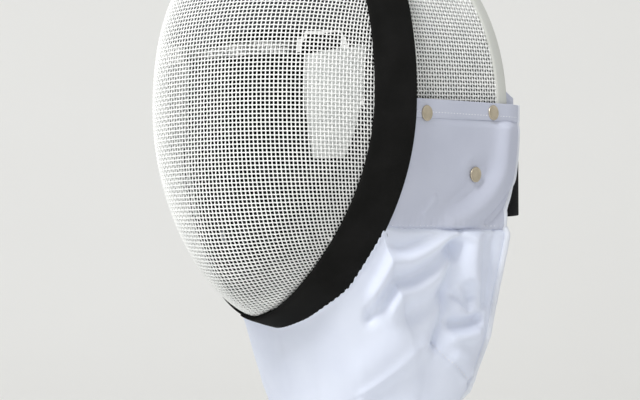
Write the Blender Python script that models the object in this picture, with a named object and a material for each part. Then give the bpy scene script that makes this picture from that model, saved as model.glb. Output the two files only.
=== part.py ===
"""Fencing mask: a woven steel mesh bowl and crown with a dark trim, a white cloth bib,
side panels, a padded lining and an elastic strap.

Metres, +Z up. The mask faces -Y and the wearer's left is +X. The origin is where the
crown lining sits on top of the head, so the bowl and the bib hang below it.
"""
import math

import bmesh
import bpy
from mathutils import Vector

# Front bowl of woven wire: an egg-shaped outline and a domed profile
HALF_WIDTH = 0.0960
CROWN_RISE = 0.1415
CHIN_DROP = 0.1600
DOME_DEPTH = 0.0850
DOME_ANGLE = math.radians(66.7)
DOME_POWER = 2.55
OUTLINE_POWER = 2.06
OUTLINE_POWER_CHANGE = 0.41
CHIN_FORWARD = 0.0224
BROW_BACK = 0.0034
BOWL_UNDER_TRIM = 1.025
WIRE_THICKNESS = 0.0020

# How far behind the bowl's joint the crown sits on the head
SEAT_BACK = 0.070

# A point well inside the head, from which every cloth or wire sheet faces away
HEAD_MIDDLE = Vector((0.0, 0.060, -0.030))

# Crown and sides of woven wire behind the bowl
REAR_HALF_WIDTH = 0.1085
REAR_RISE = 0.1400
REAR_DEPTH = 0.1560
REAR_LEAN = 0.0300
REAR_NARROWING = 0.0040
SIDE_LOW = -0.0860

# Dark trim over the joint between bowl and sides
TRIM_WIDTH = 0.0390
TRIM_WIDTH_CHIN = 0.0340
TRIM_FLARE = math.radians(16.0)
TRIM_FLARE_JAW = math.radians(20.0)
TRIM_FLARE_CHIN = math.radians(6.0)
TRIM_THICKNESS = 0.0020

# Pale tape around the rear edge of the side mesh
RIM_WIDTH = 0.0120
RIM_WALL = 0.0011

# White cloth
CLOTH_THICKNESS = 0.0022
PANEL_TOP = 0.0010
PANEL_TOP_RISE = 0.0040
PANEL_BOTTOM = -0.0940
PANEL_FRONT = 0.0260
PANEL_PAST_RIM = 0.0120
PANEL_PAST_RIM_LOW = -0.0010
BIB_THICKNESS = 0.0030
BIB_DROP = 0.2960
BIB_CORNER = 0.40
BIB_POINTED = 1.20
FAR_FOLD_SHARE = 0.35
FAR_TURN_IN = 0.0380
FAR_TURN_SHARE = 0.30
PIPING_RADIUS = 0.0026

# Flat round caps that hold each side panel: depth behind the bowl's middle, and height
CAP_RADIUS = 0.0060
CAP_HEIGHT = 0.0016
CAP_FRONT = (0.0546, -0.0089)
CAP_REAR = (0.1346, -0.0036)
CAP_LOW = (0.1154, -0.0522)

# Padded lining
LINING_THICKNESS = 0.0080
SIDE_LINING_TOP = 0.0370
SIDE_LINING_RISE = 0.0250
SIDE_LINING_BOTTOM = -0.0900
CROWN_LINING_ABOVE = 0.0120
EAR_LAP_DEPTH = 0.0420
EAR_LAP_TOP = 0.0190
BROW_LINING_LOW = 0.0360
BROW_LINING_RISE = 0.0140
BROW_LINING_END = 0.0700
BROW_LINING_SHARE = 0.970
CHIN_LINING_ANGLE = math.radians(45.0)
TONGUE_WIDTH = 0.1200
TONGUE_WIDTH_LOW = 0.0900
TONGUE_START = 0.0300
TONGUE_REACH = 0.1350
TONGUE_DROP = 0.1250
HEAD_RADIUS = 0.0850

# Cheek pads on the inside of the bowl: angle round the bowl, share out from the nose
PAD_THICKNESS = 0.0060
PAD_CORNERS = ((12.5, 0.644), (13.8, 0.985), (-14.5, 0.882), (-22.5, 0.735))
PAD_BULGE = 0.05

# Elastic strap behind the head
STRAP_HEIGHT = 0.0500
STRAP_MIDDLE = -0.0570
STRAP_START = 0.0030
STRAP_BOW = 0.0550
STRAP_POWER = 2.6
STRAP_THICKNESS = 0.0025

# Clear space between pieces that touch, and how many steps the joint's ring is drawn in
GAP = 0.0004
RING_STEPS = 56

# Bib sections from its top row to its hem. width and rear are shares of the side mesh's
# rear half width and depth, front and the two heights shares of the bib's own drop.
BIB_COLUMNS = ("down", "width", "rear", "front", "rear_height", "front_height")
BIB_SECTIONS = (
    (0.00, 0.985, 0.985, 0.060, 0.318, 0.575),
    (0.25, 0.950, 0.955, 0.085, 0.450, 0.690),
    (0.50, 0.880, 0.925, 0.105, 0.600, 0.800),
    (0.75, 0.775, 0.875, 0.125, 0.745, 0.905),
    (1.00, 0.610, 0.755, 0.150, 0.850, 1.000),
)

# Folds of the bib: start and end as shares across (0 rear edge, 1 front middle) and down,
# width as a share across, depth as a share of the bib's drop (plus stands out)
FOLD_COLUMNS = ("across_0", "down_0", "across_1", "down_1", "width", "depth")
FOLDS = (
    (0.34, 0.06, 0.62, 0.36, 0.045, -0.016),
    (0.42, 0.04, 0.70, 0.28, 0.050, 0.010),
    (0.30, 0.16, 0.60, 0.50, 0.055, 0.010),
    (0.10, 0.22, 0.22, 0.30, 0.050, -0.014),
    (0.05, 0.36, 0.20, 0.42, 0.045, 0.012),
    (0.04, 0.52, 0.20, 0.56, 0.050, -0.012),
)

MATERIALS = {
    "wire": ((0.80, 0.81, 0.79), 0.45, 0.0),
    "trim": ((0.012, 0.012, 0.011), 0.60, 0.0),
    "tape": ((0.62, 0.62, 0.60), 0.70, 0.0),
    "cloth": ((0.72, 0.75, 0.84), 0.85, 0.0),
    "lining": ((0.015, 0.015, 0.016), 0.90, 0.0),
    "pad": ((0.75, 0.77, 0.76), 0.80, 0.0),
    "nickel": ((0.45, 0.39, 0.30), 0.35, 1.0),
    "elastic": ((0.012, 0.012, 0.013), 0.75, 0.0),
}


def clear_scene():
    """Remove every object of the open scene."""
    for old in list(bpy.data.objects):
        bpy.data.objects.remove(old, do_unlink=True)


def make_materials():
    """One Principled material for each finish."""
    made = {}
    for name, (colour, roughness, metallic) in MATERIALS.items():
        material = bpy.data.materials.new(name)
        material.use_nodes = True
        shader = material.node_tree.nodes["Principled BSDF"]
        shader.inputs["Base Color"].default_value = (*colour, 1.0)
        shader.inputs["Roughness"].default_value = roughness
        shader.inputs["Metallic"].default_value = metallic
        made[name] = material
    return made


def signed_power(value, power):
    """Raise the size of a value to a power and keep its sign."""
    return math.copysign(abs(value) ** power, value)


def mix(a, b, share):
    """Straight blend from a to b."""
    return a + (b - a) * share


def smooth(share):
    """Ease from 0 to 1 with level ends."""
    share = min(max(share, 0.0), 1.0)
    return share * share * (3.0 - 2.0 * share)


def seat(point):
    """Move a point from the bowl's middle to the head seat's frame."""
    return point - crown_point(SEAT_BACK)


def ring(angle):
    """Joint between bowl and sides at an angle, 0 at the wearer's left, 90 at the crown."""
    across, up = math.cos(angle), math.sin(angle)
    power = OUTLINE_POWER + OUTLINE_POWER_CHANGE * signed_power(up, 0.5)
    rise = signed_power(up, 2.0 / power)
    back = BROW_BACK * rise if up > 0.0 else -CHIN_FORWARD * abs(rise) ** 1.6
    height = CROWN_RISE if up > 0.0 else CHIN_DROP
    return Vector((HALF_WIDTH * signed_power(across, 2.0 / power), back, height * rise))


def ring_outward(angle):
    """Unit vector across the joint, away from the head and square to Y."""
    step = 0.002
    along = ring(angle + step) - ring(angle - step)
    return Vector((along.z, 0.0, -along.x)).normalized()


def bowl(angle, share):
    """Front bowl: share 0 at the nose, 1 at the trim's front edge."""
    power = 2.0 / DOME_POWER
    spread = (math.sin(share * DOME_ANGLE) / math.sin(DOME_ANGLE)) ** power
    low = math.cos(DOME_ANGLE) ** power
    ahead = (math.cos(share * DOME_ANGLE) ** power - low) / (1.0 - low)
    edge = ring(angle)
    return Vector((edge.x * spread, edge.y * spread ** 2 - DOME_DEPTH * ahead, edge.z * spread))


def angle_at(height, low=-math.pi / 2, high=math.pi / 2):
    """Angle at which the joint on the wearer's left reaches a height."""
    for _ in range(40):
        middle = (low + high) / 2.0
        if ring(middle).z < height:
            low = middle
        else:
            high = middle
    return (low + high) / 2.0


def joint_setback():
    """Distance from the joint's line back to the side mesh's front edge."""
    under = bowl(0.0, BOWL_UNDER_TRIM).y - ring(0.0).y
    return under + WIRE_THICKNESS / 2.0 + GAP


def rear_edge(angle):
    """Rear edge of the side mesh."""
    up = ring(angle)
    if up.z > 0.0:
        rise = up.z / CROWN_RISE
        height = REAR_RISE * rise
        across = up.x / HALF_WIDTH
        depth = REAR_DEPTH - REAR_LEAN * rise ** 2
    else:
        rise = up.z / CHIN_DROP
        height = up.z
        across = math.copysign(1.0 - REAR_NARROWING / REAR_HALF_WIDTH * rise ** 2, up.x)
        depth = REAR_DEPTH
    return Vector((REAR_HALF_WIDTH * across, depth, height))


def side(angle, share):
    """Middle of the side and crown mesh: share 0 under the trim, 1 at the rear edge."""
    front = ring(angle) + Vector((0.0, joint_setback(), 0.0))
    return front.lerp(rear_edge(angle), share)


def side_outward(angle, share):
    """Unit vector off the side mesh, away from the head."""
    step = 0.002
    around = side(angle + step, share) - side(angle - step, share)
    along = rear_edge(angle) - side(angle, 0.0)
    return along.cross(around).normalized()


def side_off(angle, share, out):
    """Side mesh moved outwards by a distance, or inwards where it is negative."""
    return side(angle, share) + side_outward(angle, share) * out


def flare(angle):
    """Angle at which the trim spreads away from the head."""
    down = max(-math.sin(angle), 0.0)
    jaw = mix(TRIM_FLARE, TRIM_FLARE_JAW, smooth(down * 1.4))
    return mix(jaw, TRIM_FLARE_CHIN, smooth((down - 0.955) / 0.045))


def trim_width(angle):
    """Width of the trim, narrower under the chin."""
    down = max(-math.sin(angle), 0.0)
    return mix(TRIM_WIDTH, TRIM_WIDTH_CHIN, smooth((down - 0.88) * 10.0))


def trim_point(angle, back, out):
    """Point of the trim: back along its width, out from the wire's middle."""
    tilt = flare(angle)
    away = ring_outward(angle)
    rearward = Vector((0.0, 1.0, 0.0))
    along = away * math.sin(tilt) + rearward * math.cos(tilt)
    off = away * math.cos(tilt) - rearward * math.sin(tilt)
    return ring(angle) + along * back + off * out


def link(name, mesh, material):
    """Add a mesh to the scene as an object of its own."""
    made = bpy.data.objects.new(name, mesh)
    made.data.materials.append(material)
    bpy.context.scene.collection.objects.link(made)
    mesh.shade_smooth()
    mesh.set_sharp_from_angle(angle=math.radians(40.0))
    return made


def surface(name, material, place, across, down, thickness=0.0, inward=True):
    """A grid laid on place(u, v), u and v from 0 to 1, faced away from the head.

    With a thickness it becomes a closed sheet, and without one its open ends are filled."""
    shape = bmesh.new()
    bmesh.ops.create_grid(shape, x_segments=across, y_segments=down, size=0.5)
    for corner in shape.verts:
        corner.co = seat(place(corner.co.x + 0.5, corner.co.y + 0.5))
    bmesh.ops.remove_doubles(shape, verts=shape.verts, dist=0.00002)
    if thickness == 0.0:
        open_edges = [edge for edge in shape.edges if edge.is_boundary]
        if open_edges:
            bmesh.ops.holes_fill(shape, edges=open_edges, sides=0)
        bmesh.ops.recalc_face_normals(shape, faces=shape.faces)
    else:
        shape.normal_update()
        middle = seat(HEAD_MIDDLE)
        facing = sum(face.normal.dot(face.calc_center_median() - middle) for face in shape.faces)
        if facing < 0.0:
            bmesh.ops.reverse_faces(shape, faces=shape.faces)
    mesh = bpy.data.meshes.new(name)
    shape.to_mesh(mesh)
    shape.free()
    made = link(name, mesh, material)
    if thickness > 0.0:
        wall = made.modifiers.new("wall", "SOLIDIFY")
        wall.thickness = thickness
        wall.offset = -1.0 if inward else 1.0
        wall.use_even_offset = True
    return made


def section_corner(corners, share):
    """Corner of a closed section at a share of the way round its corners."""
    return corners[int(round(share * len(corners))) % len(corners)]


def make_front_mesh(materials):
    """Bowl of woven wire, as one thin shell."""
    def place(u, v):
        return bowl(-2.0 * math.pi * u, v * BOWL_UNDER_TRIM)
    return surface("front_mesh", materials["wire"], place, RING_STEPS, 10, WIRE_THICKNESS)


def make_front_trim(materials):
    """Dark band that covers the joint and flares to the rear."""
    inner = WIRE_THICKNESS / 2.0 + GAP
    outer = inner + TRIM_THICKNESS
    crown = outer + TRIM_THICKNESS / 4.0
    corners = ((0.0, inner), (0.5, inner), (1.0, inner), (1.0, outer), (0.5, crown), (0.0, outer))

    def place(u, v):
        angle = 2.0 * math.pi * u
        back, out = section_corner(corners, v)
        return trim_point(angle, back * trim_width(angle), out)
    return surface("front_trim", materials["trim"], place, RING_STEPS, len(corners))


def side_span():
    """Angles of the two lower ends of the side mesh."""
    low = angle_at(SIDE_LOW)
    return low, math.pi - low


def make_side_mesh(materials):
    """Sides and crown of woven wire, from ear to ear over the head."""
    low, high = side_span()

    def place(u, v):
        return side_off(mix(low, high, u), v, WIRE_THICKNESS / 2.0)
    return surface("side_mesh", materials["wire"], place, 36, 5, WIRE_THICKNESS)


def make_back_rim(materials):
    """Folded tape that clips over the rear edge of the side mesh."""
    low, high = side_span()
    slot = WIRE_THICKNESS / 2.0 + GAP
    face = slot + RIM_WALL
    lap = RIM_WIDTH - RIM_WALL - GAP
    corners = ((-lap, face), (RIM_WALL + GAP, face), (RIM_WALL + GAP, -face), (-lap, -face),
               (-lap, -slot), (GAP, -slot), (GAP, slot), (-lap, slot))

    def place(u, v):
        angle = mix(low, high, u)
        back, out = section_corner(corners, v)
        length = (rear_edge(angle) - side(angle, 0.0)).length
        return side_off(angle, 1.0 + back / length, out)
    return surface("back_rim", materials["tape"], place, 36, len(corners))


def panel_out():
    """Distance from the side mesh's middle to the inside of the side panel."""
    return WIRE_THICKNESS / 2.0 + GAP + RIM_WALL + GAP


def share_at(angle, depth):
    """Share along the side mesh at a depth behind the bowl's middle."""
    front = side(angle, 0.0)
    return (depth - front.y) / (rear_edge(angle).y - front.y)


def panel_past(down):
    """How far the side panel reaches past the tape, at a share of its height."""
    return REAR_DEPTH + mix(PANEL_PAST_RIM, PANEL_PAST_RIM_LOW, down)


def on_panel(depth, height, out):
    """Point off the wearer's left side at a depth and a height."""
    angle = angle_at(height)
    return side_off(angle, share_at(angle, depth), out)


def make_side_panel(name, hand, materials):
    """White cloth over the lower side mesh, from under the trim to just past the rear tape."""
    def place(u, v):
        top = PANEL_TOP + PANEL_TOP_RISE * u
        height = mix(top, PANEL_BOTTOM, v)
        front = PANEL_FRONT + ring(angle_at(height)).y
        made = on_panel(mix(front, panel_past(v), u), height, panel_out())
        made.x *= hand
        return made
    return surface("side_panel_" + name, materials["cloth"], place, 10, 8,
                   CLOTH_THICKNESS, inward=False)


def make_caps(name, hand, materials):
    """Three flat round caps on one side panel."""
    for place, (depth, height) in (("front", CAP_FRONT), ("rear", CAP_REAR), ("low", CAP_LOW)):
        out = panel_out() + CLOTH_THICKNESS + GAP
        middle = on_panel(depth, height, out + CAP_HEIGHT / 2.0)
        away = middle - on_panel(depth, height, out)
        middle.x *= hand
        away.x *= hand
        shape = bmesh.new()
        bmesh.ops.create_cone(shape, cap_ends=True, segments=16, radius1=CAP_RADIUS,
                              radius2=CAP_RADIUS - CAP_HEIGHT / 3.0, depth=CAP_HEIGHT)
        mesh = bpy.data.meshes.new("cap")
        shape.to_mesh(mesh)
        shape.free()
        made = link("cap_" + name + "_" + place, mesh, materials["nickel"])
        made.location = seat(middle)
        made.rotation_mode = "QUATERNION"
        made.rotation_quaternion = away.to_track_quat("Z", "Y")


def bib_row(down):
    """Values of the bib's section table at a share of the way down."""
    rows = BIB_SECTIONS
    for upper, lower in zip(rows, rows[1:]):
        if down <= lower[0] + 1e-9:
            share = (down - upper[0]) / (lower[0] - upper[0])
            return dict(zip(BIB_COLUMNS, (mix(a, b, share) for a, b in zip(upper, lower))))
    return dict(zip(BIB_COLUMNS, rows[-1]))


def bib_section(around, down):
    """The bib's plain form: around runs 0 to 1 from one rear edge past the chin to the other."""
    row = bib_row(down)
    turn = math.pi * around
    width = row["width"] * REAR_HALF_WIDTH
    rear = row["rear"] * REAR_DEPTH
    front = row["front"] * BIB_DROP
    ahead = math.sin(turn) ** BIB_POINTED
    height = -mix(row["rear_height"], row["front_height"], math.sin(turn)) * BIB_DROP
    return Vector((width * signed_power(math.cos(turn), BIB_POINTED), mix(rear, front, ahead), height))


def bib_top(around):
    """Upper edge of the bib: under the side panels, then just behind the trim's rear edge."""
    hand = 1.0 if around < 0.5 else -1.0
    half = 2.0 * min(around, 1.0 - around)
    start = angle_at(PANEL_BOTTOM - 2.0 * GAP)
    if half < BIB_CORNER:
        share = half / BIB_CORNER
        rear = share_at(start, panel_past(1.0))
        front = share_at(start, PANEL_FRONT + ring(start).y)
        place = side_off(start, mix(rear, front, share), panel_out() + CLOTH_THICKNESS)
        meet = trim_point(start, trim_width(start) + GAP, 0.0)
        place = place.lerp(meet, smooth((share - 0.5) * 2.0))
    else:
        share = (half - BIB_CORNER) / (1.0 - BIB_CORNER)
        angle = mix(start, -math.pi / 2.0, share)
        place = trim_point(angle, trim_width(angle) + GAP, 0.0)
    return Vector((place.x * hand, place.y, place.z))


def fold_relief(around, down):
    """How far the folds move the cloth outwards."""
    across = 2.0 * min(around, 1.0 - around)
    moved = 0.0
    for values in FOLDS:
        fold = dict(zip(FOLD_COLUMNS, values))
        run = Vector((fold["across_1"] - fold["across_0"], fold["down_1"] - fold["down_0"]))
        here = Vector((across - fold["across_0"], down - fold["down_0"]))
        along = min(max(here.dot(run) / run.length_squared, 0.0), 1.0)
        away = (here - run * along).length / fold["width"]
        moved += fold["depth"] * BIB_DROP * math.exp(-away * away)
    near = 1.0 if around < 0.5 else FAR_FOLD_SHARE
    return moved * near * smooth(down * 8.0) * smooth(across * 8.0)


def turned_in(around, down):
    """How far the right side's rear edge hangs in behind the neck."""
    from_edge = 2.0 * (1.0 - around)
    near_edge = 1.0 - smooth(from_edge / FAR_TURN_SHARE)
    return FAR_TURN_IN * near_edge * smooth((down - 0.07) * 6.0) * (1.0 - smooth((down - 0.35) / 0.40))


def bib(around, down):
    """Outer face of the bib."""
    plain = bib_section(around, down)
    tied = bib_top(around) - bib_section(around, 0.0)
    hold = 1.0 - smooth(down / 0.55)
    place = plain + tied * hold + Vector((turned_in(around, down), 0.0, 0.0))
    outward = Vector((math.cos(math.pi * around), -math.sin(math.pi * around), 0.0))
    return place + outward * fold_relief(around, down)


def make_bib(materials):
    """White cloth bib that hangs from the side panels and the trim."""
    return surface("bib", materials["cloth"], bib, 48, 14, BIB_THICKNESS)


def bib_edge():
    """Pairs of points along the bib's free edge: on the edge, and just inside it."""
    inset, edge_steps, hem_steps = 0.02, 12, 24
    path = []
    for index in range(edge_steps):
        down = index / edge_steps
        path.append((bib(0.0, down), bib(inset, down)))
    for index in range(hem_steps + 1):
        around = index / hem_steps
        path.append((bib(around, 1.0), bib(around, 1.0 - inset)))
    for index in reversed(range(edge_steps)):
        down = index / edge_steps
        path.append((bib(1.0, down), bib(1.0 - inset, down)))
    return path


def piping_line():
    """Middle line of the piping, square off the bib's edge."""
    path = bib_edge()
    line = []
    for index, (edge, inside) in enumerate(path):
        before = path[max(index - 1, 0)][0]
        after = path[min(index + 1, len(path) - 1)][0]
        along = (after - before).normalized()
        off = edge - inside
        off = (off - along * off.dot(along)).normalized()
        line.append(edge + off * (PIPING_RADIUS + 2.0 * GAP))
    return line


def make_bib_piping(materials):
    """Round piping along the bib's free edge."""
    curve = bpy.data.curves.new("bib_piping", "CURVE")
    curve.dimensions = "3D"
    curve.bevel_depth = PIPING_RADIUS
    curve.bevel_resolution = 1
    curve.use_fill_caps = True
    path = piping_line()
    line = curve.splines.new("POLY")
    line.points.add(len(path) - 1)
    for point, place in zip(line.points, path):
        point.co = (*seat(place), 1.0)
    made = bpy.data.objects.new("bib_piping", curve)
    curve.materials.append(materials["cloth"])
    bpy.context.scene.collection.objects.link(made)
    return made


def lining_out():
    """Distance from the side mesh's middle to the outside of the lining."""
    return -(WIRE_THICKNESS / 2.0 + GAP + RIM_WALL + GAP)


def crown_point(depth):
    """Point of the crown lining's inner face on the middle line, at a depth."""
    top = math.pi / 2.0
    return side_off(top, share_at(top, depth), lining_out() - LINING_THICKNESS)


def lining_line(share):
    """Height of the side linings' top edge at a share of the side mesh's depth."""
    return SIDE_LINING_TOP + SIDE_LINING_RISE * share


def make_crown_lining(materials):
    """Padding under the crown, from above the ears over the head."""
    def place(u, v):
        low = angle_at(lining_line(v) + CROWN_LINING_ABOVE)
        return side_off(mix(low, math.pi - low, u), mix(0.02, 0.99, v), lining_out())
    return surface("crown_lining", materials["lining"], place, 24, 5, LINING_THICKNESS)


def behind_head(share):
    """Shares of the half width and of the bow round the back of the head.

    Share 0 is at the wearer's left and 1 at the right."""
    turn = math.pi * share
    power = 2.0 / STRAP_POWER
    return signed_power(math.cos(turn), power), math.sin(turn) ** power


def make_side_lining(name, hand, materials):
    """Padding inside one side, with a lap that turns in behind the ear past the rear tape."""
    turn_in = REAR_DEPTH + STRAP_START
    lap_bow = STRAP_BOW - STRAP_THICKNESS / 2.0

    def place(u, v):
        depth = mix(joint_setback(), turn_in + EAR_LAP_DEPTH, u)
        past = max(depth - turn_in, 0.0)
        share = min(depth / turn_in, 1.0)
        lap_top = EAR_LAP_TOP * (1.0 - (past / EAR_LAP_DEPTH) ** 3)
        top = mix(lining_line(share), lap_top, smooth(past * 4.0 / EAR_LAP_DEPTH))
        height = mix(top, SIDE_LINING_BOTTOM, v)
        level = on_panel(mix(ring(angle_at(height)).y, 0.0, share) + min(depth, turn_in),
                         height, lining_out())
        around = (1.0 - (past / lap_bow) ** STRAP_POWER) ** (1.0 / STRAP_POWER)
        return Vector((level.x * around * hand, level.y + past, level.z))
    return surface("side_lining_" + name, materials["lining"], place, 14, 6, LINING_THICKNESS)


def share_at_spread(spread):
    """Share of the bowl at which its edge is scaled by a spread."""
    return math.asin(math.sin(DOME_ANGLE) * spread ** (DOME_POWER / 2.0)) / DOME_ANGLE


def bowl_inward(angle, share):
    """Unit vector off the bowl, towards the face."""
    step = 0.01
    here = bowl(angle, share)
    off = (bowl(angle, share + step) - here).cross(bowl(angle + step, share) - here).normalized()
    return off if off.y > 0.0 else -off


def make_brow_lining(materials):
    """Padding inside the top of the bowl, down to a line above the eyes."""
    low = angle_at(BROW_LINING_END)

    def place(u, v):
        angle = mix(low, math.pi - low, u)
        edge = ring(angle)
        line = BROW_LINING_LOW + BROW_LINING_RISE * (edge.x / HALF_WIDTH) ** 2
        share = mix(BROW_LINING_SHARE, share_at_spread(line / edge.z), v)
        inward = bowl_inward(angle, share)
        return bowl(angle, share) + inward * (WIRE_THICKNESS + 2.0 * GAP)
    return surface("brow_lining", materials["lining"], place, 12, 3, LINING_THICKNESS)


def make_chin_lining(materials):
    """Padding inside the trim round the chin."""
    def place(u, v):
        angle = mix(-CHIN_LINING_ANGLE, CHIN_LINING_ANGLE - math.pi, u)
        back = mix(joint_setback(), trim_width(angle) - GAP, v)
        return trim_point(angle, back, WIRE_THICKNESS / 2.0 - GAP)
    return surface("chin_lining", materials["lining"], place, RING_STEPS // 4, 3, LINING_THICKNESS)


def make_cheek_pad(name, hand, materials):
    """Pale pad against the inside of the bowl beside one cheek."""
    top_front, top_rear, low_rear, low_front = PAD_CORNERS

    def place(u, v):
        upper = [mix(a, b, u) for a, b in zip(top_front, top_rear)]
        lower = [mix(a, b, u) for a, b in zip(low_front, low_rear)]
        angle, share = (mix(a, b, v) for a, b in zip(upper, lower))
        share -= PAD_BULGE * math.sin(math.pi * v) * (1.0 - u)
        angle = math.radians(angle)
        made = bowl(angle, share) + bowl_inward(angle, share) * (WIRE_THICKNESS + 2.0 * GAP)
        made.x *= hand
        return made
    return surface("cheek_pad_" + name, materials["pad"], place, 7, 7, PAD_THICKNESS)


def curve_point(path, share):
    """Depth and height on a smooth curve with four control points."""
    rest = 1.0 - share
    weights = (rest ** 3, 3 * rest * rest * share, 3 * rest * share * share, share ** 3)
    return Vector((sum(w * p[0] for w, p in zip(weights, path)),
                   sum(w * p[1] for w, p in zip(weights, path))))


def make_back_tongue(materials):
    """Padded tongue that comes down from the crown behind the head."""
    start = crown_point(SEAT_BACK + TONGUE_START)
    top, rear = start.z - GAP, start.y - TONGUE_START + TONGUE_REACH
    path = ((start.y, top), (rear - TONGUE_REACH / 3.0, top),
            (rear, top - TONGUE_DROP / 3.0), (rear, top - TONGUE_DROP))

    def place(u, v):
        here = curve_point(path, v)
        ahead = (curve_point(path, v + 0.01) - curve_point(path, v - 0.01)).normalized()
        width = mix(TONGUE_WIDTH, TONGUE_WIDTH_LOW, v)
        across = (u - 0.5) * width
        bend = across * across / (2.0 * HEAD_RADIUS)
        return Vector((across, here.x + ahead.y * bend, here.y - ahead.x * bend))
    return surface("back_tongue", materials["lining"], place, 8, 8, LINING_THICKNESS)


def make_back_strap(materials):
    """Wide elastic strap from one ear lap to the other behind the head."""
    start = REAR_DEPTH + STRAP_START
    lap = on_panel(start, STRAP_MIDDLE + STRAP_HEIGHT / 2.0, lining_out())
    half_width = lap.x + 3.0 * GAP + STRAP_THICKNESS

    def place(u, v):
        across, bow = behind_head(u)
        depth = start + 3.0 * GAP + STRAP_BOW * bow
        return Vector((half_width * across, depth, STRAP_MIDDLE + STRAP_HEIGHT * (0.5 - v)))
    return surface("back_strap", materials["elastic"], place, 30, 1, STRAP_THICKNESS)


def make_all():
    """Build every piece."""
    clear_scene()
    materials = make_materials()
    make_front_mesh(materials)
    make_front_trim(materials)
    make_side_mesh(materials)
    make_back_rim(materials)
    make_bib(materials)
    make_bib_piping(materials)
    make_crown_lining(materials)
    make_brow_lining(materials)
    make_chin_lining(materials)
    make_back_tongue(materials)
    make_back_strap(materials)
    for name, hand in (("left", 1.0), ("right", -1.0)):
        make_side_panel(name, hand, materials)
        make_caps(name, hand, materials)
        make_side_lining(name, hand, materials)
        make_cheek_pad(name, hand, materials)


make_all()
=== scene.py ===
# %% [markdown]
# # A fencing mask, dressed for the camera
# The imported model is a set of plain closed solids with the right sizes. A real mask gets its
# look from woven wire, cloth, padding and stitches. This lesson weaves and sews those pieces
# in the places of the solids, which stay hidden and keep doing the physics.

# %% Tools and the fixed frame
import math

import bmesh
import bpy
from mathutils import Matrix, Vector


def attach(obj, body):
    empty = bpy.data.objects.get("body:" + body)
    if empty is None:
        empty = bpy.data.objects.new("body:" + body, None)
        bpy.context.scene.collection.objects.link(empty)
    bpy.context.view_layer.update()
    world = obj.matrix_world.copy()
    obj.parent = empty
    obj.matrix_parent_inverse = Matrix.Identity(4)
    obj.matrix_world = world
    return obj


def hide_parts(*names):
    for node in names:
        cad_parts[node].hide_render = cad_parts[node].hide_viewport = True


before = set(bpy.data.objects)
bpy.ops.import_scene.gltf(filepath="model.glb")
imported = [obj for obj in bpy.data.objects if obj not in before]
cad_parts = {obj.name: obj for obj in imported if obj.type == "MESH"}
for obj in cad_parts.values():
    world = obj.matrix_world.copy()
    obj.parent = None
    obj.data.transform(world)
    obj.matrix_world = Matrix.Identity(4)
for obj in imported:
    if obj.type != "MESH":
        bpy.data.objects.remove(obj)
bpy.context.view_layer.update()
print("solids in the frame:", len(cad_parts))

# %% [markdown]
# ## The camera
# The camera stands in front of the mask's left side, a little below the middle of the mask. A
# long lens far away keeps the mask from looking stretched. The camera comes first, so that every
# later step can be checked against the photograph.

# %% Camera
EYE = Vector((0.95791, -1.21834, -0.27187))
lens = bpy.data.cameras.new("camera")
lens.sensor_width = 36.0
lens.lens = 110.55
viewer = bpy.data.objects.new("camera", lens)
viewer.location = EYE
viewer.rotation_euler = (math.radians(92.63), 0.0, math.radians(38.434))
bpy.context.scene.collection.objects.link(viewer)
bpy.context.scene.camera = viewer
print("camera", tuple(round(value, 3) for value in viewer.location))

# %% [markdown]
# ## Sizes
# These are the sizes of the solids, in metres. They are measured from the middle of the front
# bowl, at its widest level: X goes to the wearer's left, Y to the rear and Z up. One shift at
# the end, called seat, moves everything to where the solids are.

# %% Sizes of the mask
HEAD_SEAT = Vector((0.0, 0.0699, 0.1298))
HALF_WIDTH, CROWN_RISE, CHIN_DROP = 0.0960, 0.1415, 0.1600
DOME_DEPTH, DOME_ANGLE, DOME_POWER = 0.0850, math.radians(66.7), 2.55
OUTLINE_POWER, OUTLINE_POWER_CHANGE = 2.06, 0.41
CHIN_FORWARD, BROW_BACK = 0.0224, 0.0034
BOWL_UNDER_TRIM = 1.025
REAR_HALF_WIDTH, REAR_RISE, REAR_DEPTH = 0.1085, 0.1400, 0.1560
REAR_LEAN, REAR_NARROWING, SIDE_LOW = 0.0300, 0.0040, -0.0860
TRIM_WIDTH, TRIM_WIDTH_CHIN = 0.0390, 0.0340
TRIM_FLARE, TRIM_FLARE_JAW, TRIM_FLARE_CHIN = (math.radians(turn) for turn in (16.0, 20.0, 6.0))
WIRE_THICKNESS, TRIM_THICKNESS, RIM_WALL, GAP = 0.0020, 0.0020, 0.0011, 0.0004
TOP = math.pi / 2.0

# %% [markdown]
# ## The forms everything hangs on
# Every piece of a mask follows two forms: the domed bowl in front of the face, and the hoop of
# mesh that runs from ear to ear over the head. Small functions describe both, so the wire, the
# trim, the cloth and the padding can all ask them for a place and never drift apart.

# %% Small helpers


def mix(a, b, share):
    """Straight blend from a to b."""
    return a + (b - a) * share


def smooth(share):
    """Ease from 0 to 1 with level ends."""
    share = min(max(share, 0.0), 1.0)
    return share * share * (3.0 - 2.0 * share)


def signed_power(value, power):
    """Raise the size of a value to a power and keep its sign."""
    return math.copysign(abs(value) ** power, value)


def seat(place):
    """Move a place from the bowl's middle to the frame of the solids."""
    return place - HEAD_SEAT


# %% The joint between bowl and sides


def ring(angle):
    """Joint line at an angle, 0 at the wearer's left, 90 degrees at the crown."""
    across, up = math.cos(angle), math.sin(angle)
    power = OUTLINE_POWER + OUTLINE_POWER_CHANGE * signed_power(up, 0.5)
    rise = signed_power(up, 2.0 / power)
    back = BROW_BACK * rise if up > 0.0 else -CHIN_FORWARD * abs(rise) ** 1.6
    height = CROWN_RISE if up > 0.0 else CHIN_DROP
    return Vector((HALF_WIDTH * signed_power(across, 2.0 / power), back, height * rise))


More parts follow.
